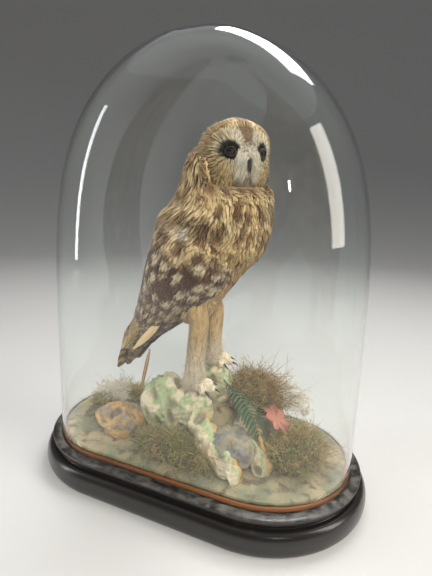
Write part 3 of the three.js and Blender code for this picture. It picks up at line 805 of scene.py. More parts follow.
def fused(name, grids, voxel, finish):
    """Joins closed grids into one mesh and remeshes it at the voxel's size in metres."""
    points, faces = [], []
    for grid in grids:
        start = sum(len(p) for p in points)
        faces += [[start + k for k in face] for face in closed_grid_faces(*grid.shape[:2])]
        points.append(grid.reshape(-1, 3))
    rough_piece = new_object(name + "_rough", np.concatenate(points), faces, finish)
    remesh = rough_piece.modifiers.new("fuse", "REMESH")
    remesh.mode, remesh.voxel_size, remesh.use_smooth_shade = "VOXEL", voxel, True
    smooth = rough_piece.modifiers.new("settle", "SMOOTH")
    smooth.iterations = 4
    done = bpy.data.meshes.new_from_object(rough_piece.evaluated_get(bpy.context.evaluated_depsgraph_get()))
    bpy.data.objects.remove(rough_piece)
    piece = bpy.data.objects.new(name, done)
    bpy.context.collection.objects.link(piece)
    done.shade_smooth()
    return piece


def nearest_eye(y, z):
    """Distance and direction from the middle of the nearer eye, in mm."""
    away_y = y - np.where(y > 0, 1, -1) * EYE_AT[1]
    away_z = z - EYE_AT[2]
    return np.hypot(away_y, away_z), away_y, away_z


skin_finish, shader = material("bird_skin", 0.85)
skin_color = node(skin_finish, "ShaderNodeAttribute", attribute_name="tint").outputs["Color"]
fine = object_noise(skin_finish, 900.0, 3.0)
link(skin_finish, blend(skin_finish, fine, BROWN.tolist(), skin_color), shader, "Base Color")
bump(skin_finish, shader, fine, 0.4, 0.0006)
skin = fused("owl_skin", list(skin_parts()), 0.0022, skin_finish)
skin_points = np.empty(len(skin.data.vertices) * 3)
skin.data.vertices.foreach_get("co", skin_points)
skin_points = skin_points.reshape(-1, 3) / MM

# %% Colour the skin
skin_local = to_head(skin_points)
eye_distance = nearest_eye(skin_local[:, 1], skin_local[:, 2])[0]
around_eye = (skin_local[:, 0] > 8) & (eye_distance < 12)
by_bill = (skin_local[:, 0] > 14) & (np.abs(skin_local[:, 1]) < 30) & (skin_local[:, 2] > CHIN)
skin_tint = np.where(by_bill[:, None], GREY * 0.9, body_ground(skin_points) * 0.7)
skin_tint = np.where(around_eye[:, None], BLACK, skin_tint)
skin_tint = np.concatenate([skin_tint, np.ones((len(skin_tint), 1))], 1)
skin_layer = skin.data.color_attributes.new("tint", "FLOAT_COLOR", "POINT")
skin_layer.data.foreach_set("color", skin_tint.astype(np.float32).ravel())
show(skin, "buff_feathers", "trunk", "neck", "head", "leg_left", "leg_right", "foot_left", "foot_right")

# %% [markdown]
# ## Trunk feathers
# Contour feathers lie down and back over the whole trunk. On the nape and mantle they are longer and
# a little raised, so that the mantle overhangs the folded wing. Breast and back are two pieces,
# which keeps each of them light. None is set where the face is, or where a wing lies over them.

# %% Breast, belly and mantle
at_trunk, out_trunk, reach_trunk = two_way(tucked_trunk)


def trunk_tint(q, p, share):
    """Ground colour with brown streaks: one streak in each cell of 19 by 16 mm on breast and nape, and
    thin short ones on the upper belly."""
    along, across = q[..., 0] * 240, q[..., 1] * 52
    z = p[..., 2]
    upper = ease(284, 318, z)
    wide = blotches(along, across, (25, 17), (11.5, 5.2), 5, 0.92, 0.45)
    wide = np.maximum(wide, 0.8 * blotches(along + 9, across + 7, (28, 20), (8, 3.4), 9, 0.7, 0.5))
    thin = blotches(along, across, (20, 9), (9, 1.5), 13, 0.7, 0.5) * ease(228, 262, z)
    ink = wide * upper + thin * (1 - upper) * 0.85
    dark = mixed(TAN, BROWN, ease(0.25, 0.8, 0.5 + 0.5 * noise(p, 40.0, 19, 2)))
    # Painted shadow: the tips of the back and side feathers about 322 to 342 mm up are darkened, where the mantle
    # overhangs the wing.
    mantle_shadow_line = ease(342, 334, z) * ease(322, 328, z) * ease(0.3, -0.2, np.cos(q[..., 1])) * ease(0.5, 0.9, share)
    ink = np.maximum(ink, 0.75 * mantle_shadow_line)
    return mixed(body_ground(p), dark, np.clip(ink, 0, 1) * (0.96 - 0.2 * ease(0.8, 1.0, share)))


def under_wing(root, p):
    """True for roots that a folded wing hides."""
    from_spine = np.abs(np.degrees(np.pi - root[:, 1] % (2 * np.pi)))
    top = 324 + 12 * ease(40, 75, from_spine) * ease(118, 100, from_spine)
    front = 132 - 14 * ease(296, 312, p[:, 2])
    return (p[:, 2] < top) & (p[:, 2] > 236) & (from_spine > 22) & (from_spine < front)


def trunk_coat(name, span, row_step, side_step, length, width, first=0.985, last=0.05):
    """Feathers on part of the trunk, between two angles from the breast, all lying towards the vent."""
    root = tiles(at_trunk, reach_trunk, first, last, row_step, side_step, span)
    p = at_trunk(root) / MM
    steps = np.linspace(0, 0.08, 6)
    from_face = np.stack([before_face(at_trunk(root - [[k, 0]]) / MM, 4.5 + 30 * k) for k in steps]).any(0)
    keep = ~from_face & ~under_wing(root, p)
    root, p = root[keep], p[keep]
    count = len(root)
    upper = ease(290, 340, p[:, 2])
    behind = ease(0.0, 0.8, -np.cos(root[:, 1]))
    long = length * rng.uniform(0.8, 1.2, count) * (1 + 0.2 * behind)
    lengthwise, sideways = reach_trunk(root)
    sway = rng.uniform(-0.10, 0.10, count) + 0.10 * noise(p, 60.0, 8, 2)
    run = np.stack([-long * MM / lengthwise, sway], -1)
    overhang = ease(16, 3, np.abs(p[:, 2] - 352)) * ease(0.7, 0.0, np.cos(root[:, 1]))
    bib = ease(16, 4, np.abs(p[:, 2] - 312)) * ease(0.4, 0.9, np.cos(root[:, 1] + 0.5))
    lift = rng.uniform(0.0, 0.7, count) + 0.8 * behind * upper + 9.0 * overhang + 2.5 * bib
    unwrap = np.stack([(root[:, 1] / (2 * np.pi)) % 1.0, root[:, 0]], -1)
    piece = coat(name, plumage, at_trunk, out_trunk, root, run, width * rng.uniform(0.8, 1.25, count),
                 np.full(count, 7.0), lift, trunk_tint, unwrap, across_unit=sideways)
    return show(piece, "streaked_plumage")


trunk_coat("breast_feathers", (-1.6, 1.6), 4.2, 2.2, 21, 3.6)
trunk_coat("mantle_feathers", (1.55, 2 * np.pi - 1.55), 4.6, 2.5, 23, 4.0, last=0.2)
heights = to_head(at_trunk(np.stack([np.linspace(0.5, 1, 400), np.full(400, HEAD_TURN)], -1)) / MM)[:, 2]
throat = [0.5 + 0.5 * np.argmax(heights > CHIN - drop) / 399 for drop in (0.3, 6)]
trunk_coat("throat_feathers", (-1.9, 1.2), 1.3, 2.9, 15, 3.2, *throat)

# %% [markdown]
# ## Feathers of the face
# Fine, open feathers run out from each eye. Close round the eye they are black, the brows and the
# bristles at the bill are white, and toward the rim they turn buff with fine dark lines.

# %% Radiating feathers
at_face, out_face, _ = two_way(face_at, (0.1, 0.1), -1.0)


def face_tint(q, p, share):
    """Black patch round the eye, longest up and outwards; dark lines that fan out from it; white brows in
    an X and white bristles beside the bill; buff toward the rim, brown in the wedge of the forehead."""
    y, z = q[..., 0], q[..., 1]
    distance, away_y, away_z = nearest_eye(y, z)
    bearing = np.arctan2(away_z, away_y * np.sign(y))
    patch = 10.2 + 3.4 * np.cos(bearing - 0.9) + 0.5 * np.sin(11 * bearing)
    black = 1 - ease(-2.2, 2.0, distance - patch)
    fan = np.sin(29 * bearing + 2 * np.sin(4 * bearing) + 0.6 * np.sin(0.7 * distance))
    lines = ease(0.35, 0.95, fan) * ease(33, 18, distance) * ease(0.0, 0.7, np.cos(bearing))
    rim = rim_share(y, z)
    low = ease(6, -16, z)
    outer = mixed(np.array([0.56, 0.45, 0.27]), np.array([0.42, 0.31, 0.14]), low)
    color = mixed(np.array([0.55, 0.47, 0.34]), outer, ease(0.55 - 0.25 * low, 0.95 - 0.25 * low, rim))
    speckle = blotches(distance, bearing * 24, (8, 3.0), (3.4, 0.9), 31, 0.85)
    color = mixed(color, BROWN, 0.7 * speckle * ease(0.55, 0.9, rim))
    brow = np.exp(-((np.abs(y) - 4.5 - 0.5 * (z - 4)) / 4.2) ** 2) * ease(-2, 6, z) * ease(29, 22, z)
    bristly = np.exp(-((np.abs(y) - 7) / 9) ** 2) * ease(6, -2, z) * ease(-34, -20, z)
    hairs = 0.70 + 0.35 * np.sin(3.4 * y + 2 * np.sin(0.4 * z))
    color = mixed(color, WHITE * hairs[..., None], np.clip(brow + bristly, 0, 1))
    wedge = ease(4.5, 0.5, np.abs(y) - 0.30 * (z - 4)) * ease(4, 10, z)
    flecks = blotches(y, z, (4, 2.2), (1.7, 0.6), 83, 0.6)
    color = mixed(color, mixed(TAN, BROWN, 0.75), 0.9 * wedge * (1 - 0.75 * flecks * ease(24, 8, z)))
    color = mixed(color, GREY * 0.8 * hairs[..., None], 0.7 * ease(-20, -29, z) * ease(18, 9, np.abs(y)))
    color = mixed(color, UMBER, 0.75 * lines)
    return mixed(color, BLACK, black)


def face_feathers():
    """Feathers over the whole dish, except on the eyes and the bill."""
    spread = 1.25
    y, z = np.meshgrid(np.arange(-42, 42, spread), np.arange(-38, 32, spread), indexing="ij")
    y, z = (v.ravel() + rng.uniform(-0.6, 0.6, v.size) for v in (y, z))
    on_bill = (np.abs(y) < 4.4) & (z < -1) & (z > -17)
    keep = (rim_share(y, z) < 0.97) & (nearest_eye(y, z)[0] > 6.4) & ~on_bill
    y, z = y[keep], z[keep]
    distance, away_y, away_z = nearest_eye(y, z)
    count = len(y)
    lie = unit(np.stack([away_y, away_z], -1))
    low = ease(2, -8, z) * ease(14, 6, np.abs(y))
    high = ease(4, 12, z) * ease(13, 5, np.abs(y))
    lie = unit(lie + low[:, None] * np.stack([np.sign(y) * 0.4, np.full(count, -1.6)], -1)
               + high[:, None] * np.stack([-0.4 * np.sign(y), np.full(count, 2.2)], -1)
               + rng.normal(0, 0.07, (count, 2)))
    near = ease(14, 7, distance)
    length = rng.uniform(6.0, 9.0, count) * (1 - 0.3 * near)
    return coat("face_disc_feathers", face_coat, at_face, out_face, np.stack([y, z], -1), lie * length[:, None],
                rng.uniform(1.1, 1.7, count), 2.4 - 1.6 * near, rng.uniform(0.2, 0.7, count), face_tint,
                np.stack([0.5 + y / 90, 0.5 + z / 90], -1), rows=5, camber=0.2, thick=0.35)


show(face_feathers(), "face_feathers")


# %% The ruff round the face
def ruff(name, count, share, length, width, lift, dark_share):
    """A row of stiff feathers along the rim: each stands at its share of the way out, and points outwards
    and a little down. Toward the chin they are darker."""
    bearing = 2 * np.pi * (np.arange(count) + rng.uniform(-0.4, 0.4, count)) / count
    reach = share / rim_share(np.cos(bearing), np.sin(bearing) + FACE_MIDDLE)
    y, z = reach * np.cos(bearing), FACE_MIDDLE + reach * np.sin(bearing)
    lie = unit(np.stack([np.cos(bearing), np.sin(bearing) - 0.15], -1) + rng.normal(0, 0.08, (count, 2)))
    size = length * rng.uniform(0.85, 1.15, count) * (1 + 0.5 * ease(-0.4, -0.9, np.sin(bearing)))
    mark = dark_share * rng.uniform(0.3, 1.0, count) * (0.55 + 0.45 * ease(0.3, -0.5, np.sin(bearing)))

    def tint(q, p, run_share):
        streak = mark[:, None, None] * ease(0.1, 0.5, run_share) * np.ones(q.shape[:3])
        return mixed(np.array([0.40, 0.27, 0.13]), UMBER, streak)

    piece = coat(name, face_coat, at_face, out_face, np.stack([y, z], -1), lie * size[:, None],
                 width * rng.uniform(0.8, 1.2, count), np.full(count, 2.0), lift * rng.uniform(0.6, 1.2, count),
                 tint, np.stack([0.5 + y / 90, 0.5 + z / 90], -1), camber=0.5, thick=0.4, blunt=0.4)
    return show(piece, "face_feathers")


ruff("ruff_dark", 460, 0.89, 6.5, 1.9, 1.8, 1.25)
ruff("ruff_pale", 420, 0.95, 7.5, 2.2, 1.0, 0.8)

# %% [markdown]
# ## Crown and cheeks
# Behind the ruff the head is covered with small streaked feathers that lie backwards.

# %% Crown
def at_head(q):
    """The head's surface for a direction."""
    return from_head(head_local(q))


def out_head(q):
    """Outward direction of the head: its place over the squares of the half-axes, turned to the frame."""
    local = unit(unit(q) / HEAD_HALF)
    return unit(from_head(local * 100) - from_head(np.zeros(3)))


def crown_tint(q, p, share):
    """Cream and buff with short brown streaks that run backwards."""
    d = unit(q)
    along, across = np.arctan2(d[..., 2], d[..., 0]) * 38, d[..., 1] * 46
    color = mixed(CREAM * 0.9, BUFF * 0.75, 0.5 + 0.6 * noise(p, 22.0, 5, 2))
    ink = blotches(along, across, (9, 5.2), (3.6, 1.5), 41, 0.85, 0.4)
    golden = ease(27, 18, np.abs(across)) * ease(-4, 8, d[..., 0] * 38) * ease(0, 12, d[..., 2] * 40)
    color = mixed(color, CREAM * 1.12, 0.9 * golden)
    stripe = ease(11, 5, np.abs(across)) * ease(10, 24, d[..., 2] * 40)
    return mixed(color, BROWN, np.clip(0.9 * ink * (1 - 0.6 * golden) + 0.6 * stripe, 0, 1))


def crown():
    """Feathers over the ball outside the face, on a spiral of equal steps from pole to pole."""
    count = 4800
    k = np.arange(count) + 0.5
    lift_angle = np.arcsin(1 - 2 * k / count)
    turn_by = np.pi * (1 + 5 ** 0.5) * k + rng.uniform(-0.1, 0.1, count)
    direction = np.stack([np.cos(lift_angle) * np.cos(turn_by), np.cos(lift_angle) * np.sin(turn_by),
                          np.sin(lift_angle)], -1)
    p = head_local(direction)
    on_face = (p[:, 0] > 2) & (rim_share(p[:, 1], p[:, 2]) < 0.95)
    direction = direction[~on_face & (p[:, 2] > -30)]
    count = len(direction)
    lie = np.array([-1.0, 0, -0.35]) + rng.normal(0, 0.08, (count, 3))
    lie = unit(lie - np.sum(lie * direction, -1, keepdims=True) * direction)
    run = lie * rng.uniform(7.5, 10.5, (count, 1)) / HEAD_HALF
    unwrap = np.stack([(np.arctan2(direction[:, 1], direction[:, 0]) / (2 * np.pi)) % 1,
                       0.5 + np.arcsin(direction[:, 2]) / np.pi], -1)
    return coat("crown_feathers", plumage, at_head, out_head, direction, run, rng.uniform(2.3, 3.4, count),
                np.full(count, 2.6), rng.uniform(0.0, 0.8, count), crown_tint, unwrap, rows=5, camber=0.3,
                thick=0.4)


show(crown(), "streaked_plumage")

# %% [markdown]
# ## Wings
# A folded wing shows rows of coverts over the long flight feathers. The rows run from small at the
# shoulder to long at the tip. The small ones are cream and brown, the larger ones dark with pale
# drops, and the flight feathers are barred. Below them lies a thin dark web, so that nothing
# shows through between the feathers.

# %% Wing feathers
WING_LENGTH = 243.0     # mm from the shoulder to the tip, along the wing


def covert_tint(q, p, share):
    """Cream with brown streaks at the shoulder, white on the shoulder's top as a painted highlight, then umber with
    pale drops, smaller toward the tip.
    """
    along, across = q[..., 0] * WING_LENGTH, q[..., 1] * 110
    down = ease(50, 84, along + 7 * noise(p, 35.0, 55, 2) + 44 * (q[..., 1] - 0.55))
    cloud = 0.5 + 0.5 * noise(p, 26.0, 17, 2)
    streaks = blotches(along, across, (33, 15), (18, 6.2), 61, 0.97, 0.35)
    shoulder = ease(48, 26, along) * ease(0.60, 0.42, q[..., 1])
    top = mixed(mixed(CREAM, BUFF, 0.5 * cloud), mixed(TAN, BROWN, 0.4 + cloud), 0.95 * streaks)
    # Painted highlight: white over the first 26 mm of the wing, fading out by 48 mm, on its side toward the spine.
    top = mixed(top, WHITE, 0.8 * shoulder)
    drops = blotches(along, across, (19, 16), (6.6, 4.3), 67, 0.95, 0.28)
    drops = np.maximum(drops, 0.8 * blotches(along + 8, across + 8, (19, 16), (4.2, 2.2), 71, 0.55, 0.35))
    small = ease(110, 150, along)
    drops = drops * (1 - small) + small * blotches(along, across, (13, 10), (4.2, 2.4), 73, 0.9, 0.35)
    dusky = mixed(BROWN, UMBER, 0.25 + 0.65 * cloud) * (1.25, 0.95, 0.6)
    low = mixed(dusky, mixed(CREAM, WHITE, 0.6 * cloud) * 0.92, drops)
    return mixed(top, low, down)


def flight_tint(q, p, share):
    """Brown with buff bars across, which break into spots."""
    along, across = q[..., 0] * WING_LENGTH, q[..., 1] * 90
    bars = ease(0.1, 0.6, np.sin(2 * np.pi * along / 15 + 1.5 * noise(p, 30.0, 77, 2)))
    spots = blotches(along, across, (13, 9), (4.4, 2.6), 79, 0.85)
    return mixed(mixed(BROWN, UMBER, ease(0.5, 1.0, share)), mixed(CREAM, BUFF, 0.5) * 0.9,
                 np.clip(0.35 * bars + 0.8 * spots, 0, 1))


def wing_coat(side):
    """All feathers of one wing, row after row from the shoulder to the tip."""
    surface, normal, reach = two_way(wing_at[side], (1e-3, 1e-3), float(SIDES[side]))
    rows = [("coverts", tiles(surface, reach, 0.0, 0.64, 4.4, 3.0, (0.0, 0.99)), 22, 5.2, covert_tint),
            ("flight", tiles(surface, reach, 0.50, 0.92, 8.0, 6.0, (0.03, 0.97)), 42, 9.0, flight_tint)]
    for kind, root, length, width, tint in rows:
        count = len(root)
        p = surface(root) / MM
        lengthwise, sideways = reach(root)
        long = length * rng.uniform(0.85, 1.15, count) * (0.75 + 0.35 * ease(0.1, 0.4, root[:, 0]))
        run = np.stack([long * MM / lengthwise, rng.uniform(-0.03, 0.03, count) + 0.04 * noise(p, 70.0, 30, 2)], -1)
        run[:, 0] = np.minimum(run[:, 0], np.maximum(1.02 - root[:, 0], 0.04) * rng.uniform(0.9, 1.1, count))
        piece = coat(f"wing_{side}_{kind}", flight, surface, normal, root, run,
                     width * rng.uniform(0.8, 1.25, count), np.full(count, 3.0), rng.uniform(0.0, 0.5, count), tint,
                     np.stack([root[:, 1], root[:, 0]], -1), rows=7, ring=6, camber=0.12, rag=0.12, blunt=0.4,
                     across_unit=sideways)
        show(piece, "flight_feathers", *([f"wing_{side}"] if kind == "flight" else []))


wing_web, shader = material("wing_web", 0.8)
link(wing_web, blend(wing_web, object_noise(wing_web, 300.0), UMBER.tolist(), BROWN.tolist()), shader, "Base Color")
for side in SIDES:
    wing_coat(side)
    t, around = np.meshgrid(np.linspace(0.02, 0.985, 40), 2 * np.pi * np.arange(32) / 32, indexing="ij")
    half_way = 0.5 - 0.47 * np.cos(around)
    web = wing_at[side](t, half_way, np.where(np.sin(around) > 0, 0.1, -1.0))
    web = web if side == "left" else web[:, ::-1]
    show(new_object(f"wing_web_{side}", web, closed_grid_faces(40, 32), wing_web), "flight_feathers")

# %% [markdown]
# ## Tail
# Twelve barred feathers in a closed fan, laid over each other like the leaves of a hand fan, with
# soft coverts over their roots.

# %% Tail feathers
def tail_feathers():
    """Twelve long vanes. Number i starts near the middle of the rump and ends at its own place across
    the fan, and lies the lower the farther out it is."""
    count, rows, ring = 12, 40, 10
    place = (np.arange(count) - 5.5) / 5.5
    share = np.linspace(0, 1, rows)[None]
    x, y, z, depth, width, tilt = np.moveaxis(through(TAIL, 0.12 + 0.88 * share), -1, 0)
    sideways = place[:, None] * width * (0.45 + 0.35 * share)
    behind = -0.55 * depth + 2.6 * np.abs(place[:, None]) - 1.2 * share + 0.5 * (place[:, None] > 0)
    tilt = np.radians(tilt)
    middle = np.stack([x + behind * np.cos(tilt) + 0 * sideways, sideways, z - behind * np.sin(tilt)], -1) * MM
    along = unit(np.gradient(middle, axis=1))
    normal = unit(np.cross(along, np.array([0.0, 1.0, 0.0])))
    normal = normal * np.sign(-normal[..., :1])
    half = 8.2 * outline(share, 0.16) * MM * np.ones((count, 1))
    points = blades(middle, normal, half, 0.8 * MM * np.ones_like(half), ring, 0.12)
    across = vane_map(count, rows, ring)[..., 0] - 0.5
    wave = np.sin(2 * np.pi * (8.5 * share[..., None] - 0.35 * np.abs(across)) + 0.4 * place[:, None, None])
    tint = mixed(BROWN, mixed(CREAM, BUFF, 0.5) * 0.85, ease(0.1, 0.6, wave + 0.3 * noise(points / MM, 12.0, 91, 2)))
    tint = np.concatenate([tint, np.ones(tint.shape[:3] + (1,))], -1)
    grid = np.stack([(np.arange(count) + 0.5) / count, np.full(count, 0.5)], -1)
    own = grid[:, None, None] + (vane_map(count, rows, ring) - 0.5) * (0.07, 0.9)
    return new_object("tail_feathers", points, bundle_faces(count, rows, ring), flight,
                      {"vane": vane_map(count, rows, ring), "OFBake": own}, {"tint": tint})


show(tail_feathers(), "flight_feathers", "tail")
at_tail, out_tail, reach_tail = two_way(lambda t, angle: tail_at(t, angle))


def tail_coverts():
    """Soft feathers over and under the root of the tail."""
    root = tiles(at_tail, reach_tail, 0.02, 0.55, 5.0, 3.4)
    count = len(root)
    lengthwise, sideways = reach_tail(root)
    run = np.stack([rng.uniform(18, 26, count) * MM / lengthwise, rng.uniform(-0.06, 0.06, count)], -1)

    def tint(q, p, share):
        above = ease(-0.1, 0.5, -np.cos(q[..., 1]))
        ink = blotches(q[..., 0] * 130, q[..., 1] * 24, (18, 12), (8, 3.4), 83, 0.9, 0.45)
        return mixed(mixed(CREAM, BUFF, 0.4), BROWN, 0.85 * ink * above)

    return coat("tail_coverts", plumage, at_tail, out_tail, root, run, rng.uniform(4, 5.5, count),
                np.full(count, 5.0), rng.uniform(0, 1, count), tint,
                np.stack([(root[:, 1] / (2 * np.pi)) % 1.0, root[:, 0]], -1), across_unit=sideways)


show(tail_coverts(), "streaked_plumage")

# %% [markdown]
# ## Legs and feet
# A short-eared owl is feathered down to the claws. The tufts are long on the thigh, short down the
# shank and shortest on the toes, where they turn whitish and stand out a little.

# %% Tufts on legs and toes
def leg_tint(q, p, share):
    """Cream that pales to white toward the foot, with darker locks, and painted shade that darkens each lock toward its
    root.
    """
    color = mixed(body_ground(p) * 1.3, TAN, 0.45 * ease(0.45, 0.9, 0.5 + 0.5 * noise(p * (1, 1, 0.3), 7.0, 23, 2)))
    # Painted shade: each lock is darker toward its root.
    return color * (0.78 + 0.22 * ease(0.0, 0.6, share))[..., None]


def tufts(name, surface, first, last, row_step, side_step, lengths, width, depth, lift, rising):
    """Short locks along a limb. lengths are those at the first and the last row; rising is the share of
    locks whose tips stand out."""
    place, normal, reach = two_way(surface)
    root = tiles(place, reach, first, last, row_step, side_step)
    count = len(root)
    lengthwise, sideways = reach(root)
    share = (root[:, 0] - first) / (last - first)
    long = (lengths[0] + (lengths[1] - lengths[0]) * share) * rng.uniform(0.75, 1.25, count)
    run = np.stack([long * MM / lengthwise, rng.uniform(-0.15, 0.15, count)], -1)
    run[:, 0] = np.minimum(run[:, 0], 1.06 - root[:, 0])
    out = lift * rng.random(count) + 2.2 * lift * (rng.random(count) < rising)
    piece = coat(name, buff_coat, place, normal, root, run, width * rng.uniform(0.75, 1.25, count),
                 np.full(count, depth), out, leg_tint,
                 np.stack([(root[:, 1] / (2 * np.pi)) % 1.0, root[:, 0]], -1), rows=5, thick=0.5, rag=0.2,
                 across_unit=sideways)
    return show(piece, "buff_feathers")


for side in SIDES:
    tufts(f"leg_{side}_tufts", leg_at[side], 0.03, 0.97, 2.8, 2.1, (16, 10), 2.7, 3.8, 1.1, 0.16)
    for number, (bearing, length) in enumerate(TOES, 1):
        tufts(f"toe_{side}_{number}_tufts", toe_at(side, bearing, length), 0.0, 0.93, 1.9, 1.5, (6, 4.2), 1.5, 1.3, 0.7,
              0.2)


# %% Fluff over the ankles
def ankle_fluff(side):
    """Long fine hairs round the lower shank, which lean out a little and hang over the toes."""
    count = 1200
    x, y, z = FEET[side]
    around, up_by = rng.uniform(0, 2 * np.pi, count), rng.uniform(3, 34, count) * rng.random(count) ** 0.5
    heading = np.stack([np.cos(around), np.sin(around)], -1)
    root = np.concatenate([np.array([x, y]) + heading * (7.0 * np.ones((count, 1))), (z + 5 + up_by)[:, None]], -1)
    lie = unit(np.concatenate([heading * 0.62, -0.75 * np.ones((count, 1))], -1) + rng.normal(0, 0.22, (count, 3)))
    bend = np.concatenate([heading * 0.15, -0.25 * np.ones((count, 1))], -1) + rng.normal(0, 0.12, (count, 3))
    long = rng.uniform(6, 14, count) * (0.6 + 0.4 * ease(0, 14, up_by))
    hairs = strands(root * MM, lie, long * MM, rng.uniform(0.25, 0.42, count) * MM, bend, 5, 4)
    hairs[..., 2] = np.maximum(hairs[..., 2], (z - 1.0) * MM)
    tint = mixed(WHITE, BUFF, 0.5 * rng.random(count))
    unwrap = np.stack([around / (2 * np.pi), 0.9 + up_by / 400], -1)
    return hair_object(f"ankle_fluff_{side}", hairs, "buff_feathers", buff_coat, unwrap, tint)


for side in SIDES:
    ankle_fluff(side)

# %% [markdown]
# ## Eyes
# Glass eyes are blown half balls with a painted iris, set in clay. The pupil is wide, so only a thin
# amber ring of iris shows. The ball sits behind lids of dark, dried skin, which cover its
# edge, and the glass over the iris is a little more curved than the rest.

# %% Glass eyes and lids
EYE_BALL = 7.2
EYE_OPENING = 5.3


def eye_frame(side):
    """Outward, sideways and upward directions of an eye in the head's own measures."""
    outward = unit(np.array([1.0, side * 0.36, 0.03]))
    sideways = unit(np.cross([0.0, 0.0, 1.0], outward))
    return outward, sideways, np.cross(outward, sideways)


def glass_eye(side, rows=36, ring=48):
    """Rings round the axis of the eye: the radius is that of the ball, plus a tenth where the clear
    cornea bulges within half a radian of the axis."""
    outward, sideways, upward = eye_frame(side)
    angle = np.linspace(0.02, np.pi * 0.6, rows)[::-1, None, None]
    turn_by = (2 * np.pi * np.arange(ring) / ring)[None, :, None]
    size = EYE_BALL * (1 + 0.09 * np.exp(-(angle / 0.55) ** 2))
    local = EYE_CENTRE * (1, side, 1) + size * (np.cos(angle) * outward + np.sin(angle) * (
        np.cos(turn_by) * sideways + np.sin(turn_by) * upward))
    away = np.degrees(angle[..., 0]) * np.ones((1, ring))
    fleck = 0.5 + 0.5 * np.sin(23 * turn_by[..., 0]) * np.sin(7 * turn_by[..., 0] + 1)
    amber = mixed(np.array([0.14, 0.055, 0.008]), np.array([0.30, 0.13, 0.02]), fleck * np.ones_like(away))
    iris = ease(37, 39.5, away) * ease(56, 50, away)
    color = mixed(np.array([0.004, 0.003, 0.003]), amber, iris)
    color = np.concatenate([color, np.ones(color.shape[:2] + (1,))], -1)
    return new_object(f"glass_eye_{'left' if side > 0 else 'right'}", from_head(local), closed_grid_faces(rows, ring),
                      eye_glass, colors={"tint": color})


def lids(side, ring=14, count=64):
    """A tube round the opening of the eye. Its middle is a circle on the ball, pressed down to four
    fifths above and raised a little below; it is thickest on the upper lid."""
    outward, sideways, upward = eye_frame(side)
    around = 2 * np.pi * np.arange(count) / count
    lift = np.sin(around) * np.where(np.sin(around) > 0, 0.86, 0.93)
    flat = EYE_OPENING * np.stack([np.cos(around), lift], -1)
    depth = np.sqrt(np.maximum(EYE_BALL ** 2 - np.sum(flat ** 2, -1), 4.0)) + 0.25
    circle = flat[:, :1] * sideways + flat[:, 1:] * upward
    middle = EYE_CENTRE * (1, side, 1) + circle + depth[:, None] * outward
    out_from = unit(circle)
    size = (0.85 + 0.45 * np.clip(np.sin(around), 0, 1))[:, None, None]
    bend = (2 * np.pi * np.arange(ring) / ring)[None, :, None]
    local = middle[:, None] + size * (np.cos(bend) * out_from[:, None] - np.sin(bend) * outward)
    faces = grid_faces(count, ring)
    seam = grid_faces(2, ring)
    first = (count - 1) * ring
    faces += [[first + k if k < ring else k - ring for k in face] for face in seam]
    return new_object(f"eyelids_{'left' if side > 0 else 'right'}", from_head(local), faces, lid_skin)


eye_glass, shader = material("glass_eye", 0.12, Specular_IOR_Level=0.05, Coat_Weight=0.8, Coat_Roughness=0.02, IOR=1.5)
eye_tint = node(eye_glass, "ShaderNodeAttribute", attribute_name="tint").outputs["Color"]
depth_tone = object_noise(eye_glass, 1200.0, 2.0)
link(eye_glass, blend(eye_glass, maths(eye_glass, "MULTIPLY", depth_tone, 0.25), eye_tint, (0.004, 0.003, 0.003)),
     shader, "Base Color")
lid_skin, shader = material("lid_skin", 0.5)
creases = object_noise(lid_skin, 1500.0, 3.0)
link(lid_skin, blend(lid_skin, creases, (0.006, 0.005, 0.004), (0.022, 0.016, 0.012)), shader, "Base Color")
bump(lid_skin, shader, creases, 0.6, 0.0004)
for side, name in ((1, "left"), (-1, "right")):
    show(glass_eye(side), "glass_eye", f"eye_{name}")
    show(lids(side), "horn")

# %% [markdown]
# ## Bill and claws
# Both are horn: a hook that tapers and curves down, nearly black, with a soft polish and fine lines
# along it. One function makes them all in their own directions and then turns them into place.

# %% Horn hooks
horn, shader = material("horn", 0.32, Coat_Weight=0.3, Coat_Roughness=0.2)
lines = object_noise(horn, 500.0, 4.0, (1.0, 1.0, 0.35))
link(horn, blend(horn, lines, (0.006, 0.006, 0.007), (0.045, 0.040, 0.036)), shader, "Base Color")
bump(horn, shader, lines, 0.3, 0.0003)


def hook(name, length, drop, half, at, turn_by, dip=0.0, rows=18, ring=18):
    """A tapering cone bent down. Along it t runs from 0 to 1; the bend is t squared, the size goes from
    half to a half millimetre with t to the power 1.2, and the drop grows with the bend. at is in mm and
    turn_by and dip are in degrees."""
    t = np.linspace(0, 1, rows)[:, None]
    angle = 2 * np.pi * np.arange(ring) / ring
    bend, size = t ** 2, half + (0.35 - half) * t ** 1.2
    upright = size * np.sin(angle)
    forward = length * (t - 0.25 * bend) + 0.8 * t * upright
    sideways = size * 0.9 * np.cos(angle) * (1 - 0.3 * np.clip(np.sin(angle), 0, 1))
    z = -drop * bend + (1 - 0.5 * t) * upright
    c, s = math.cos(math.radians(dip)), math.sin(math.radians(dip))
    forward, z = c * forward + s * z, c * z - s * forward
    c, s = math.cos(math.radians(turn_by)), math.sin(math.radians(turn_by))
    points = np.stack([c * forward - s * sideways, s * forward + c * sideways, z], -1) + at
    return new_object(name, points * MM, closed_grid_faces(rows, ring), horn)


bill_at = from_head([24.0, 0.0, -4.0]) / MM
show(hook("horn_bill", 17, 15, 6.2, bill_at, math.degrees(HEAD_TURN), 12, 32, 28), "horn", "bill")
for side in SIDES:
    x, y, z = FEET[side]
    for number, (bearing, length) in enumerate(TOES, 1):
        reach = length - 4
        at = np.array([x + reach * math.cos(math.radians(bearing)), y + reach * math.sin(math.radians(bearing)), z + 5.5])
        show(hook(f"horn_claw_{side}_{number}", 16, 4.6, 2.3, at, bearing), "horn", f"claw_{side}_{number}")


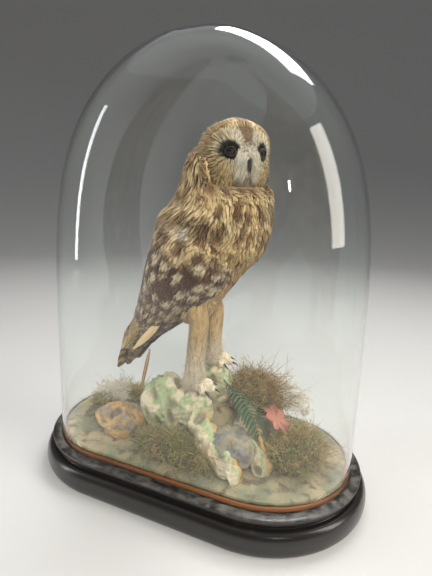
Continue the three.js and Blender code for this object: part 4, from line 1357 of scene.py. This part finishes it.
# %% Bristles at the bill
def bristles():
    """Stiff hairs from both sides of the bill's base that sweep forward and down and cover half of it."""
    count = 900
    side = np.where(np.arange(count) % 2 == 0, 1.0, -1.0)
    y = side * rng.uniform(2.6, 12.5, count)
    z = rng.uniform(-24, 1, count) + 0.35 * np.abs(y)
    root = face_at(y, z, 1.0)
    lie = np.stack([0.55 + 0.25 * rng.random(count), 0.30 * side + rng.normal(0, 0.12, count),
                    -0.85 + rng.normal(0, 0.12, count)], -1)
    bend = np.stack([-0.55 * np.ones(count), 0.12 * side, -0.25 * np.ones(count)], -1)
    lie, bend = ((from_head(v) - from_head(np.zeros(3))) / MM for v in (unit(lie), bend))
    hairs = strands(root, lie, rng.uniform(8, 14, count) * MM, rng.uniform(0.2, 0.32, count) * MM, bend, 5, 4)
    tint = mixed(WHITE * 1.15, GREY, rng.random(count) ** 2)
    return hair_object("bill_bristles", hairs, "face_feathers", face_coat,
                       np.stack([0.5 + y / 90, 0.5 + z / 90], -1), tint)


bristles()

# %% [markdown]
# ## Plaster ground
# Over the board lies a low hill of plaster and glue, strewn with sand while it was wet and washed
# with a thin sage green. It is a height over the oval board, with sand as small relief in the
# finish.

# %% Ground
GROUND_RADIUS = 0.1024
sand_finish, shader = material("painted_plaster", 0.88)
grit = object_noise(sand_finish, 1500.0, 4.0)
stain = object_noise(sand_finish, 28.0, 4.0)
sage = blend(sand_finish, smooth_step(sand_finish, stain, 0.38, 0.62), (0.16, 0.17, 0.10), (0.34, 0.27, 0.15))
brownish = blend(sand_finish, smooth_step(sand_finish, object_noise(sand_finish, 75.0, 6.0), 0.5, 0.66), sage,
                 (0.10, 0.075, 0.04))
link(sand_finish, blend(sand_finish, smooth_step(sand_finish, grit, 0.52, 0.74), brownish, (0.48, 0.43, 0.31)),
     shader, "Base Color")
bump(sand_finish, shader, grit, 0.9, 0.0012)


def swell(x, y, z, seed):
    """The solid model's fixed roughness: a product of two waves and half of a third."""
    return np.sin(0.11 * x + seed) * np.cos(0.13 * y - 2 * seed) + 0.5 * np.sin(0.19 * z + 0.17 * x + 3 * seed)


def ground_height(x, y):
    """Height of the ground in mm: 51, a mound 44 high in the shape of a bell, and a few waves."""
    return 51 + 44 * np.exp(-((x - 12) / 68) ** 2 - ((y - 12) / 52) ** 2) + 1.6 * swell(x, y, 0 * x, 4)


shares = np.concatenate([[1.0, 1.0], np.linspace(0.992, 0.02, 46)])[:, None]
ring = oval(1.0, 0.0, 180)
edge = np.stack([(GROUND_RADIUS - 0.002) * shares * ring[:, 0] + STRAIGHT * shares * np.sign(ring[:, 0]),
                 (GROUND_RADIUS - 0.002) * shares * ring[:, 1]], -1)
top = ground_height(edge[..., 0] / MM, edge[..., 1] / MM)
flat_edge = np.concatenate([edge / MM, 0 * edge[..., :1]], -1)
top = top + (0.9 * noise(flat_edge, 16, 71, 3) + 0.5 * noise(flat_edge, 5, 72, 2)) * ease(1.0, 0.95, shares)
top = 50.2 + (top - 50.2) * ease(1.0, 0.93, shares)
top[0] = 47.6
ground = np.concatenate([edge, top[..., None] * MM], -1)
show(new_object("sanded_ground", ground, closed_grid_faces(*ground.shape[:2]), sand_finish), "painted_plaster",
     "plaster_ground")

# %% [markdown]
# ## Painted rocks
# The rocks are brown paper, crumpled and dipped in glue, then painted: cream and pale green,
# ochre, blue-grey. Crumpled paper has flat facets between sharp folds. The hollows are darkened
# with painted shade, and the fold ridges are lightened, partly as rubbed paint and partly as a
# painted highlight. The facets come from a noise whose value is folded over at zero.

# %% Crumpled lumps
def inside_glass(p, radius=101.4):
    """Presses places in mm back into the oval board: what lies beyond the radius comes back to it."""
    straight = np.clip(p[..., 0], -93, 93)
    away = np.hypot(p[..., 0] - straight, p[..., 1])
    back = np.minimum(1.0, radius / np.maximum(away, 1e-6))
    return np.stack([straight + (p[..., 0] - straight) * back, p[..., 1] * back, p[..., 2]], -1)


def folds(p, size, seed):
    """Sharp folds from 0 to 1: one less the absolute value of a noise, so that it peaks in creases."""
    return 1 - np.abs(noise(p, size, seed, 2)) / 1.2


def crumple(p, outward, seed):
    """Moves places along their outward direction by large facets and small creases, in mm."""
    large, small = folds(p, 30, seed + 100), folds(p, 10, seed + 200)
    moved = p + outward * (5.5 * (large - 0.78) + 2.4 * (small - 0.75))[..., None]
    return moved, large, small


def rock_colors(p, large, small, paints, seed, band=None):
    """Two paints in patches, a dark third one in the hollows as painted shade, and pale paper on the fold ridges,
    partly rubbed wear and partly a painted highlight.
    """
    first, second, third = (np.array(c) for c in paints)
    if band is None:
        band = noise(p, 36, seed + 300, 3)
    band = band + 0.22 * noise(p, 9, seed + 400, 2)
    color = mixed(first, second, ease(-0.16, 0.16, band))
    # Painted shade: the dark third paint fills the hollows between the facets.
    color = mixed(color, third, 0.9 * ease(0.66, 0.40, large) + 0.5 * ease(0.55, 0.25, small))
    # Pale fold ridges: rubbed paper, and partly a painted highlight.
    rubbed = ease(0.9, 0.99, large) * 0.45 + ease(0.93, 0.99, small) * 0.2
    color = mixed(color, first * 0.8 + 0.12, rubbed)
    return np.concatenate([color, np.ones(color.shape[:-1] + (1,))], -1)


def rock_finish(name):
    """Distemper over paper: matt, uneven, and with brush marks in its relief."""
    made, shader = material(name, 0.62)
    tint = node(made, "ShaderNodeAttribute", attribute_name="tint").outputs["Color"]
    brush = object_noise(made, 260.0, 5.0, (1.0, 0.6, 0.35))
    dirt = object_noise(made, 60.0, 6.0)
    tint = blend(made, maths(made, "MULTIPLY", smooth_step(made, dirt, 0.45, 0.75), 0.6), tint, (0.10, 0.075, 0.04))
    link(made, blend(made, maths(made, "MULTIPLY", brush, 0.3), tint, (0.55, 0.50, 0.38)), shader, "Base Color")
    bump(made, shader, brush, 0.5, 0.0008)
    return made


cream_rock, ochre_rock, grey_rock = (rock_finish(f"{color}_rockwork") for color in ("cream", "ochre", "grey"))
# Each set is two paints and a dark third one, which is the painted shade of the hollows.
CREAM_PAINTS = ((0.55, 0.47, 0.31), (0.25, 0.32, 0.14), (0.085, 0.075, 0.03))
OCHRE_PAINTS = ((0.42, 0.22, 0.04), (0.17, 0.13, 0.09), (0.05, 0.035, 0.02))
GREY_PAINTS = ((0.055, 0.063, 0.075), (0.15, 0.12, 0.06), (0.015, 0.017, 0.02))


def lump(at, half, seed, share, turn_by=0.0, rows=70, ring=110):
    """A ball with half-axes, swollen by the fixed roughness, turned about the upright and set down."""
    lift, around = np.meshgrid(np.linspace(-1.54, 1.54, rows), 2 * np.pi * np.arange(ring) / ring, indexing="ij")
    ball = np.stack([np.cos(lift) * np.cos(around), np.cos(lift) * np.sin(around), np.sin(lift)], -1)
    size = 1 + share * swell(*(20 * np.moveaxis(ball, -1, 0)), seed)
    p = ball * np.array(half) * size[..., None]
    c, s = math.cos(math.radians(turn_by)), math.sin(math.radians(turn_by))
    spin = np.array([[c, s, 0], [-s, c, 0], [0, 0, 1]])
    return p @ spin + at, unit(ball / np.array(half)) @ spin


def rock(name, finish, paints, slot, node_name, seed, shape):
    """A crumpled lump or ridge, painted, kept on the board."""
    p, outward = shape
    across = outward @ unit(np.array([1.0, 0.8, 0.0])) if "ridge" in name else None
    p, large, small = crumple(p, outward, seed)
    if across is None:
        color = rock_colors(p, large, small, paints, seed)
    else:
        foot = ease(105, 55, p[..., 2])
        band = across + 0.25 * noise(p, 30, seed + 5, 2)
        color = rock_colors(p, large, small, CREAM_PAINTS, seed, band + 0.45)
        ochre = rock_colors(p, large, small, OCHRE_PAINTS, seed, 0 * band - 1)
        color = color + (ochre - color) * ease(0.25, 0.42, band + 0.5 * foot - 0.1)[..., None]
    p = inside_glass(p)
    p[..., 2] = np.maximum(p[..., 2], 48.5 + 0.02 * np.arange(p.shape[0])[:, None])
    made = new_object(name, p * MM, closed_grid_faces(*p.shape[:2]), finish, colors={"tint": color})
    return show(made, slot, node_name)


def ridge(a, b, sag, rows=90, ring=80):
    """A ridge from one place and size to another, sagging between them, with rounded ends and uneven
    sections 1.1 times as high as wide."""
    t, around = np.meshgrid(np.linspace(0.01, 0.99, rows), 2 * np.pi * np.arange(ring) / ring, indexing="ij")
    middle = [(p + q) / 2 - (sag if k == 2 else 0) for k, (p, q) in enumerate(zip(a, b))]
    x, y, z, half = np.moveaxis(through([a, middle, b], t), -1, 0)
    size = half * np.maximum(0.25, round_ends(t, 0.14, 0.14)) * (1 + 0.14 * swell(2 * x, 2 * y, z, 1))
    along = unit(np.array([b[0] - a[0], b[1] - a[1]]))
    outward = np.stack([-along[1] * np.cos(around), along[0] * np.cos(around), np.sin(around)], -1)
    p = np.stack([x, y, z], -1) + outward * (1, 1, 1.1) * size[..., None]
    return p, outward


for name, finish, paints, slot, seed, shape in [
        ("rock_under_right_foot", cream_rock, CREAM_PAINTS, "cream_rockwork", 2.1,
         lump([4, -25, 92], [27, 22, 30.5], 2.1, 0.06)),
        ("rock_under_left_foot", cream_rock, CREAM_PAINTS, "cream_rockwork", 0.4,
         lump([10, 22, 110], [27, 21, 33], 0.4, 0.06)),
        ("rock_cream", cream_rock, CREAM_PAINTS, "cream_rockwork", 5.2,
         lump([-31, -32, 94], [33, 25, 40], 5.2, 0.12, 12)),
        ("ridge_cream", cream_rock, CREAM_PAINTS, "cream_rockwork", 7.0, ridge([20, -46, 98, 17], [94, -84, 58, 10], 8)),
        ("ridge_green", ochre_rock, OCHRE_PAINTS, "ochre_rockwork", 8.0, ridge([66, -4, 94, 15], [116, -58, 58, 11], 6)),
        ("rock_grey", grey_rock, GREY_PAINTS, "grey_rockwork", 1.7,
         lump([66, -44, 68], [32, 28, 26], 1.7, 0.12, -30)),
        ("rock_ochre", ochre_rock, OCHRE_PAINTS, "ochre_rockwork", 3.3,
         lump([-92, -44, 62], [33, 26, 24], 3.3, 0.14, 10))]:
    rock("painted_" + name, finish, paints, slot, name, int(10 * seed), shape)

# %% [markdown]
# ## Dried moss
# The moss is real and more than a hundred years old: olive turned brown, wiry and matted. Each pad
# is a rough core, coloured dark as painted shade for the depth of the mat, with thousands of bent
# stems standing out of it, and fine side twigs on the stems.

# %% Moss pads
moss_finish, shader = material("dried_moss", 0.9)
tint = node(moss_finish, "ShaderNodeAttribute", attribute_name="tint").outputs["Color"]
patchy = object_noise(moss_finish, 120.0, 3.0)
link(moss_finish, blend(moss_finish, patchy, (0.035, 0.028, 0.012), tint), shader, "Base Color")
OLIVE, RUST, GREEN = np.array([0.72, 0.60, 0.24]), np.array([0.58, 0.26, 0.09]), np.array([0.36, 0.46, 0.16])


def moss_pad(name, at, half, seed, turn_by=0.0, stems=900, twigs=3, rusty=0.25, long=11.0):
    """Stems root on the upper part of the lump, lean outwards and up, and bend over; twigs root at random
    heights along a stem and stand off it. The core is a little smaller than the lump."""
    core, outward = lump(at, [0.82 * h for h in half], seed, 0.10, turn_by, 40, 60)
    core = core + outward * (2.2 * noise(core, 9, 400, 3))[..., None]
    core = inside_glass(core, 100.5)
    core[..., 2] = np.maximum(core[..., 2], 48.5 + 0.02 * np.arange(40)[:, None])
    # Painted shade: the core is a fifth as bright as the olive of the stems, so the depth between them reads dark.
    dark = np.ones((40, 60, 4)) * [*(OLIVE * 0.22), 1]
    show(new_object(name + "_core", core * MM, closed_grid_faces(40, 60), moss_finish, colors={"tint": dark}),
         "dried_moss", name)
    rows = rng.integers(17, 40, 4 * stems)
    columns = rng.integers(0, 60, 4 * stems)
    root, out = core[rows, columns], outward[rows, columns]
    above = root[:, 2] > ground_height(root[:, 0], root[:, 1]) - 2
    root, out = root[above][:stems], out[above][:stems]
    count = len(root)
    lie = unit(out + rng.normal(0, 0.75, (count, 3)) + (0, 0, 0.35))
    lie[:, 2] = np.abs(lie[:, 2]) * 0.8 + 0.05
    bend = rng.normal(0, 0.75, (count, 3)) - (0, 0, 0.40)
    length = long * rng.uniform(0.6, 1.5, count)
    stem = strands(root * MM, lie, length * MM, rng.uniform(0.4, 0.75, count) * MM, bend, 6, 3)
    which = np.repeat(np.arange(count), twigs)
    share = rng.uniform(0.15, 1.0, len(which))[:, None]
    start = root[which] + length[which, None] * (lie[which] * share + bend[which] * share ** 2)
    off = unit(lie[which] + rng.normal(0, 0.9, (len(which), 3)))
    twig = strands(start * MM, off, rng.uniform(2.5, 6.0, len(which)) * MM, rng.uniform(0.28, 0.45, len(which)) * MM,
                   rng.normal(0, 0.7, (len(which), 3)), 4, 3)
    tone = mixed(OLIVE, RUST, rusty * (rng.random(count) < 0.6) + 0.5 * rusty * rng.random(count))
    tone = mixed(tone, GREEN, 0.7 * ease(0.0, 0.6, noise(root, 30, 33, 2))) * rng.uniform(0.35, 1.25, (count, 1))
    for kind, hairs, color, places in (("stems", stem, tone, root), ("twigs", twig, tone[which] * 1.1, start)):
        hairs = inside_glass(hairs / MM, 102.0) * MM
        unwrap = np.stack([0.5 + places[:, 0] / 440, 0.5 + places[:, 1] / 440], -1)
        hair_object(f"{name}_{kind}", hairs, "dried_moss", moss_finish, unwrap, color)


moss_pad("moss_front", [8, -74, 60], [64, 20, 18], 2.6, -6, 1200)
moss_pad("moss_right", [138, -12, 64], [34, 44, 24], 0.9, 0, 1200, rusty=0.35)
moss_pad("moss_back", [62, 46, 98], [52, 36, 26], 4.1, -15, 1100, rusty=0.6, long=17.0)
moss_pad("moss_left", [-134, 6, 60], [34, 40, 18], 1.2, 0, 800)

# %% [markdown]
# ## Fern, leaf and down
# A dyed fern frond lies across the rocks beside a coral-pink leaf. Down from the bird itself is
# scattered over the moss. The frond is a stem with toothed leaflets; the leaf is cut into
# five lobes and curls at its edge; a down feather is a soft shaft with fine barbs that part all ways.

# %% Fern frond
def plant_finish(name, dark, light, rough_by=0.7):
    """Two greens or pinks in fine veins and soft patches."""
    made, shader = material(name, rough_by)
    veins = object_noise(made, 900.0, 3.0, (1.0, 1.0, 0.4))
    patches = object_noise(made, 110.0, 3.0)
    link(made, blend(made, patches, blend(made, veins, dark, light), light), shader, "Base Color")
    bump(made, shader, veins, 0.5, 0.0006)
    return made


fern_finish = plant_finish("fern_green", (0.012, 0.035, 0.016), (0.045, 0.085, 0.035))
FROND = [(36, 8, 124, 4), (60, -8, 117, 13), (82, -22, 105, 14), (98, -34, 88, 4)]


def fern():
    """The stem is a strand along the frond. Pairs of leaflets leave it every few millimetres, swept
    forward; a leaflet is a thin vane whose edge is cut into rounded teeth by a wave in its width."""
    pairs, rows, ring = 15, 30, 8
    t = np.linspace(0.05, 0.97, pairs)
    path, ahead_of = through(FROND, t), through(FROND, t + 0.01)
    along = unit(ahead_of[:, :3] - path[:, :3])
    across = unit(np.cross([0, 0, 1.0], along))
    share = np.linspace(0, 1, rows)
    bundles = []
    for side in (1, -1):
        lie = unit(side * across + 0.45 * along)
        reach = path[:, 3:] * 1.15
        middle = path[:, None, :3] + lie[:, None] * (reach * share)[..., None] + along[:, None] * (
            2.5 * share ** 2)[None, :, None] - np.array([0, 0, 3.0]) * (share ** 2)[None, :, None]
        teeth = 0.62 + 0.38 * np.abs(np.sin(np.pi * 6 * share))
        width = 1.9 * teeth * np.sqrt(np.maximum(1 - share ** 2.5, 0.02)) * (reach / 13 + 0.2) * MM
        bundles.append(blades(middle * MM, np.array([0, 0, 1.0]) * np.ones((pairs, rows, 1)), width,
                              0.4 * MM * np.ones_like(width), ring, 0.25))
    fine = through(FROND, np.linspace(-0.12, 1.0, 40))[None, :, :3] * MM
    size = np.linspace(0.9, 0.3, 40)[None] * MM
    bundles.append(blades(fine, np.array([0, 0, 1.0]) * np.ones((1, 40, 1)), size, 2 * size, 8))
    faces, points = [], []
    for bundle in bundles:
        offset = sum(p.shape[0] for p in points)
        faces += [[k + offset for k in face] for face in bundle_faces(*bundle.shape[:3])]
        points.append(bundle.reshape(-1, 3))
    return new_object("fern_frond_cut", np.concatenate(points), faces, fern_finish)


show(fern(), "fern_green", "fern_frond")

# %% Lobed leaf
coral, shader = material("coral_leaf", 0.65)
leaf_tint = node(coral, "ShaderNodeAttribute", attribute_name="tint").outputs["Color"]
fibres = object_noise(coral, 700.0, 4.0)
link(coral, blend(coral, maths(coral, "MULTIPLY", fibres, 0.5), leaf_tint, (0.30, 0.14, 0.09)), shader, "Base Color")
bump(coral, shader, fibres, 0.5, 0.0006)
LEAF_AT, LEAF_LENGTH, LEAF_WIDTH = np.array([107.0, 1.0, 96.0]), 25.0, 16.0


def lobed_leaf(rows=16, ring=200):
    """The edge has seven lobes: reach = 0.55 plus 0.30 times the absolute cosine of three and a half times
    the bearing, with small teeth. The face is cupped and folded a little along its veins."""
    bearing = 2 * np.pi * np.arange(ring) / ring
    teeth = 0.08 * np.abs(np.sin(17.5 * bearing + 0.4))
    reach = (0.55 + 0.30 * np.abs(np.cos(3.5 * bearing + 0.3 * np.sin(bearing))) + teeth) * (
        1 + 0.12 * np.sin(2 * bearing + 1))
    share = np.linspace(0.02, 1, rows)[:, None]
    u, v = share * reach * np.cos(bearing), share * reach * np.sin(bearing)
    fold = 1.5 * np.abs(np.sin(3.5 * bearing)) * share
    lift = 3.5 * v ** 2 - 2.0 * u ** 2 + fold + 1.6 * np.sin(3 * bearing + 1) * share ** 2
    along, across = unit(np.array([30.0, -24.0, -14.0])), unit(np.array([24.0, 34.0, 4.0]))
    normal = np.cross(along, across)
    face = LEAF_AT + (u[..., None] * along * LEAF_LENGTH + v[..., None] * across * LEAF_WIDTH
                      + lift[..., None] * normal)
    vein = np.abs(np.cos(3.5 * bearing)) ** 30 * (1 - 0.5 * share)
    color = mixed(np.array([0.34, 0.11, 0.07]), np.array([0.20, 0.03, 0.025]), ease(0.45, 1.0, share * reach) * ease(
        -0.5, 0.8, np.sin(bearing + 1.2)))
    color = mixed(color, np.array([0.42, 0.22, 0.14]), 0.7 * vein)
    color = np.concatenate([color, np.ones(color.shape[:-1] + (1,))], -1)
    sheet = np.concatenate([face, face[::-1] - 0.7 * normal])[::-1]
    return new_object("lobed_leaf", sheet * MM, closed_grid_faces(2 * rows, ring), coral,
                      colors={"tint": np.concatenate([color, color[::-1]])[::-1]})


show(lobed_leaf(), "coral_leaf", "leaf_coral")

# %% Down feathers
down_finish, shader = material("white_down", 0.85, Sheen_Weight=0.5, Sheen_Roughness=0.5)
down_tone = object_noise(down_finish, 200.0, 2.0)
down_tint = node(down_finish, "ShaderNodeAttribute", attribute_name="tint").outputs["Color"]
link(down_finish, blend(down_finish, maths(down_finish, "MULTIPLY", down_tone, 0.5), down_tint, (0.42, 0.38, 0.30)),
     shader, "Base Color")


def down(name, stations, plumes, seed_turn, node_name=None, barbs=110, spread=1.0):
    """Plumes side by side along a path: each is a curved shaft, and barbs root along it and part to both
    sides and up. Barbs are longest in the middle of the shaft."""
    places = []
    for plume in range(plumes):
        share = np.sort(rng.random(barbs))
        path = through(stations, share)
        step = unit(through(stations, share + 0.02)[:, :3] - path[:, :3])
        across = unit(np.cross([0, 0, 1.0], step))
        off = (plume - (plumes - 1) / 2) / max(plumes - 1, 1)
        root = path[:, :3] + across * (off * 1.1 * path[:, 3:] * spread)
        root[:, 2] += 1.5 * np.sin(5 * share + plume * seed_turn) - 2 * abs(off)
        side = np.where(rng.random(barbs) < 0.5, 1.0, -1.0)[:, None]
        lie = unit(side * across + 0.5 * step + rng.normal(0, 0.35, (barbs, 3)) + (0, 0, 0.35))
        length = path[:, 3] * rng.uniform(0.45, 0.95, barbs) * (0.5 + np.sin(np.pi * share))
        places.append((root, lie, length))
    root, lie, length = (np.concatenate(v) for v in zip(*places))
    length = np.maximum(length, 2.5)
    bend = rng.normal(0, 0.28, (len(root), 3)) - (0, 0, 0.1)
    hairs = strands(root * MM, lie, length * MM, np.full(len(root), 0.32) * MM, bend, 5, 3)
    which = np.repeat(np.arange(len(root)), 5)
    share = rng.uniform(0.1, 1.0, len(which))[:, None]
    start = root[which] + length[which, None] * (lie[which] * share + bend[which] * share ** 2)
    fine = strands(start * MM, unit(lie[which] + rng.normal(0, 0.7, (len(which), 3))),
                   rng.uniform(2.0, 4.8, len(which)) * MM, np.full(len(which), 0.2) * MM,
                   rng.normal(0, 0.4, (len(which), 3)), 3, 3)
    for kind, bundle, start_at in (("barbs", hairs, root), ("fluff", fine, start)):
        unwrap = np.stack([0.5 + start_at[:, 0] / 440, 0.5 + start_at[:, 1] / 440], -1)
        tint = (WHITE * 1.15)[None] * rng.uniform(0.8, 1.15, (len(start_at), 1))
        hair_object(f"{name}_{kind}", inside_glass(bundle / MM, 102.5) * MM, "white_down", down_finish, unwrap, tint,
                    *([node_name] if node_name and kind == "barbs" else []))


down("down_right_plumes", [(84, 64, 110, 6), (100, 58, 110, 17), (118, 50, 102, 18), (134, 42, 91, 6)], 5, 1.3,
     "down_right")
down("down_left_plumes", [(-150, -22, 84, 5), (-134, -22, 93, 14), (-114, -24, 93, 14), (-99, -28, 86, 5)], 4, 2.1,
     "down_left")

# %% Loose feathers
QUILL = [(-58, -30, 166, 1.0), (-62, -31, 146, 2.4), (-67, -32, 122, 2.0), (-70, -33, 104, 0.9)]
VENT_PLUME = [(-40, -28, 210, 2.0), (-52, -31, 194, 4.6), (-66, -33, 178, 4.4), (-82, -33, 162, 1.2)]


def single_feather(name, stations, facing, tint, slot, *nodes, rows=40, ring=12):
    """One vane along a path with a shaft down its middle."""
    path = through(stations, np.linspace(0, 1, rows))[None]
    middle = path[..., :3] * MM
    normal = unit(np.array(facing, float)) * np.ones((1, rows, 1))
    vane = blades(middle, normal, path[..., 3] * MM, 0.5 * MM * np.ones((1, rows)), ring, 0.15)
    shaft = blades(middle + normal * 0.3 * MM, normal, np.linspace(0.5, 0.15, rows)[None] * MM,
                   np.linspace(0.9, 0.3, rows)[None] * MM, ring)
    both = np.concatenate([vane, shaft])
    color = np.concatenate([tint[None] * np.ones((1, 3)), [[0.55, 0.45, 0.30]]])
    place = root_map(np.array([[0.5 + middle[0, 0, 0], 0.5 + middle[0, 0, 2]]] * 2), rows, ring)
    made = new_object(name, both, bundle_faces(2, rows, ring), buff_coat,
                      {"vane": vane_map(2, rows, ring), "OFBake": place}, {"tint": per_blade(color, rows, ring)})
    return show(made, slot, *nodes)


single_feather("loose_quill", QUILL, (0.5, -1, 0.1), TAN * 1.2, "white_down", "quill_loose")
single_feather("vent_plume", VENT_PLUME, (0.45, -1, 0.25), CREAM, "streaked_plumage")

# %% [markdown]
# ## Studio
# A pale floor runs out flat and rises into a wall all round, like a bowl, so no edge shows from any
# side. A large soft lamp lights the front, and a tall one at each side draws the long streaks down
# the glass that tell the eye it is glass.

# %% Floor and lamps
floor_material, shader = material("studio_floor", 0.9)
sweep = object_noise(floor_material, 3.0, 2.0)
place = node(floor_material, "ShaderNodeTexCoord").outputs["Object"]
away = node(floor_material, "ShaderNodeVectorMath", {0: place}, operation="LENGTH").outputs["Value"]
pale = blend(floor_material, sweep, (0.66, 0.655, 0.64), (0.69, 0.685, 0.67))
link(floor_material, blend(floor_material, smooth_step(floor_material, away, 0.4, 3.4), pale, (0.30, 0.30, 0.302)),
     shader, "Base Color")
FLOOR_FLAT, WALL_CURVE, WALL_TOP = 2.0, 1.6, 4.0
bend = np.linspace(0, np.pi / 2, 24)
floor_radius = np.concatenate([[0.02, 1.0], FLOOR_FLAT + WALL_CURVE * np.sin(bend), [FLOOR_FLAT + WALL_CURVE]])
floor_level = np.concatenate([[0, 0], WALL_CURVE * (1 - np.cos(bend)), [WALL_TOP]])
around = 2 * np.pi * np.arange(96) / 96
bowl = np.stack([floor_radius[:, None] * np.cos(around), floor_radius[:, None] * np.sin(around),
                 floor_level[:, None] * np.ones(96)], -1)
bowl_faces = grid_faces(len(floor_radius), 96) + [list(range(96))]
floor = new_object("studio_floor", bowl[:, ::-1], bowl_faces, floor_material)


def softbox(name, at, aim, size, power, tint=(1, 1, 1), shine=True):
    """A rectangular lamp at a place, turned to face its aim. Without shine it lights but isn't mirrored."""
    data = bpy.data.lights.new(name, "AREA")
    data.shape = "RECTANGLE"
    data.size, data.size_y = size
    data.energy = power
    data.color = tint
    lamp = bpy.data.objects.new(name, data)
    lamp.location = at
    lamp.rotation_euler = (Vector(aim) - Vector(at)).to_track_quat("-Z", "Y").to_euler()
    lamp.visible_glossy = lamp.visible_transmission = shine
    bpy.context.collection.objects.link(lamp)
    return lamp


softbox("key", (0.9, -1.5, 1.5), (0, 0, 0.25), (0.9, 0.9), 34, (1.0, 0.96, 0.90), False)
softbox("left_strip", (-1.5, -0.9, 0.7), (0, 0, 0.3), (0.12, 1.3), 7, (0.95, 0.98, 1.0))
softbox("right_bank", (1.5, 0.1, 0.9), (0, 0, 0.3), (0.5, 1.2), 12, (1.0, 0.95, 0.86))
softbox("top", (0.1, 1.0, 1.9), (0, 0, 0.2), (1.3, 0.6), 20)
softbox("spark", (0.85, -1.0, 0.75), (0, 0, 0.4), (0.05, 0.09), 1.0)
world = bpy.data.worlds.new("studio")
world.use_nodes = True
world.node_tree.nodes["Background"].inputs[0].default_value = (0.95, 0.97, 1.0, 1)
world.node_tree.nodes["Background"].inputs[1].default_value = 0.35
bpy.context.scene.world = world
bpy.context.scene.view_settings.view_transform = "Standard"
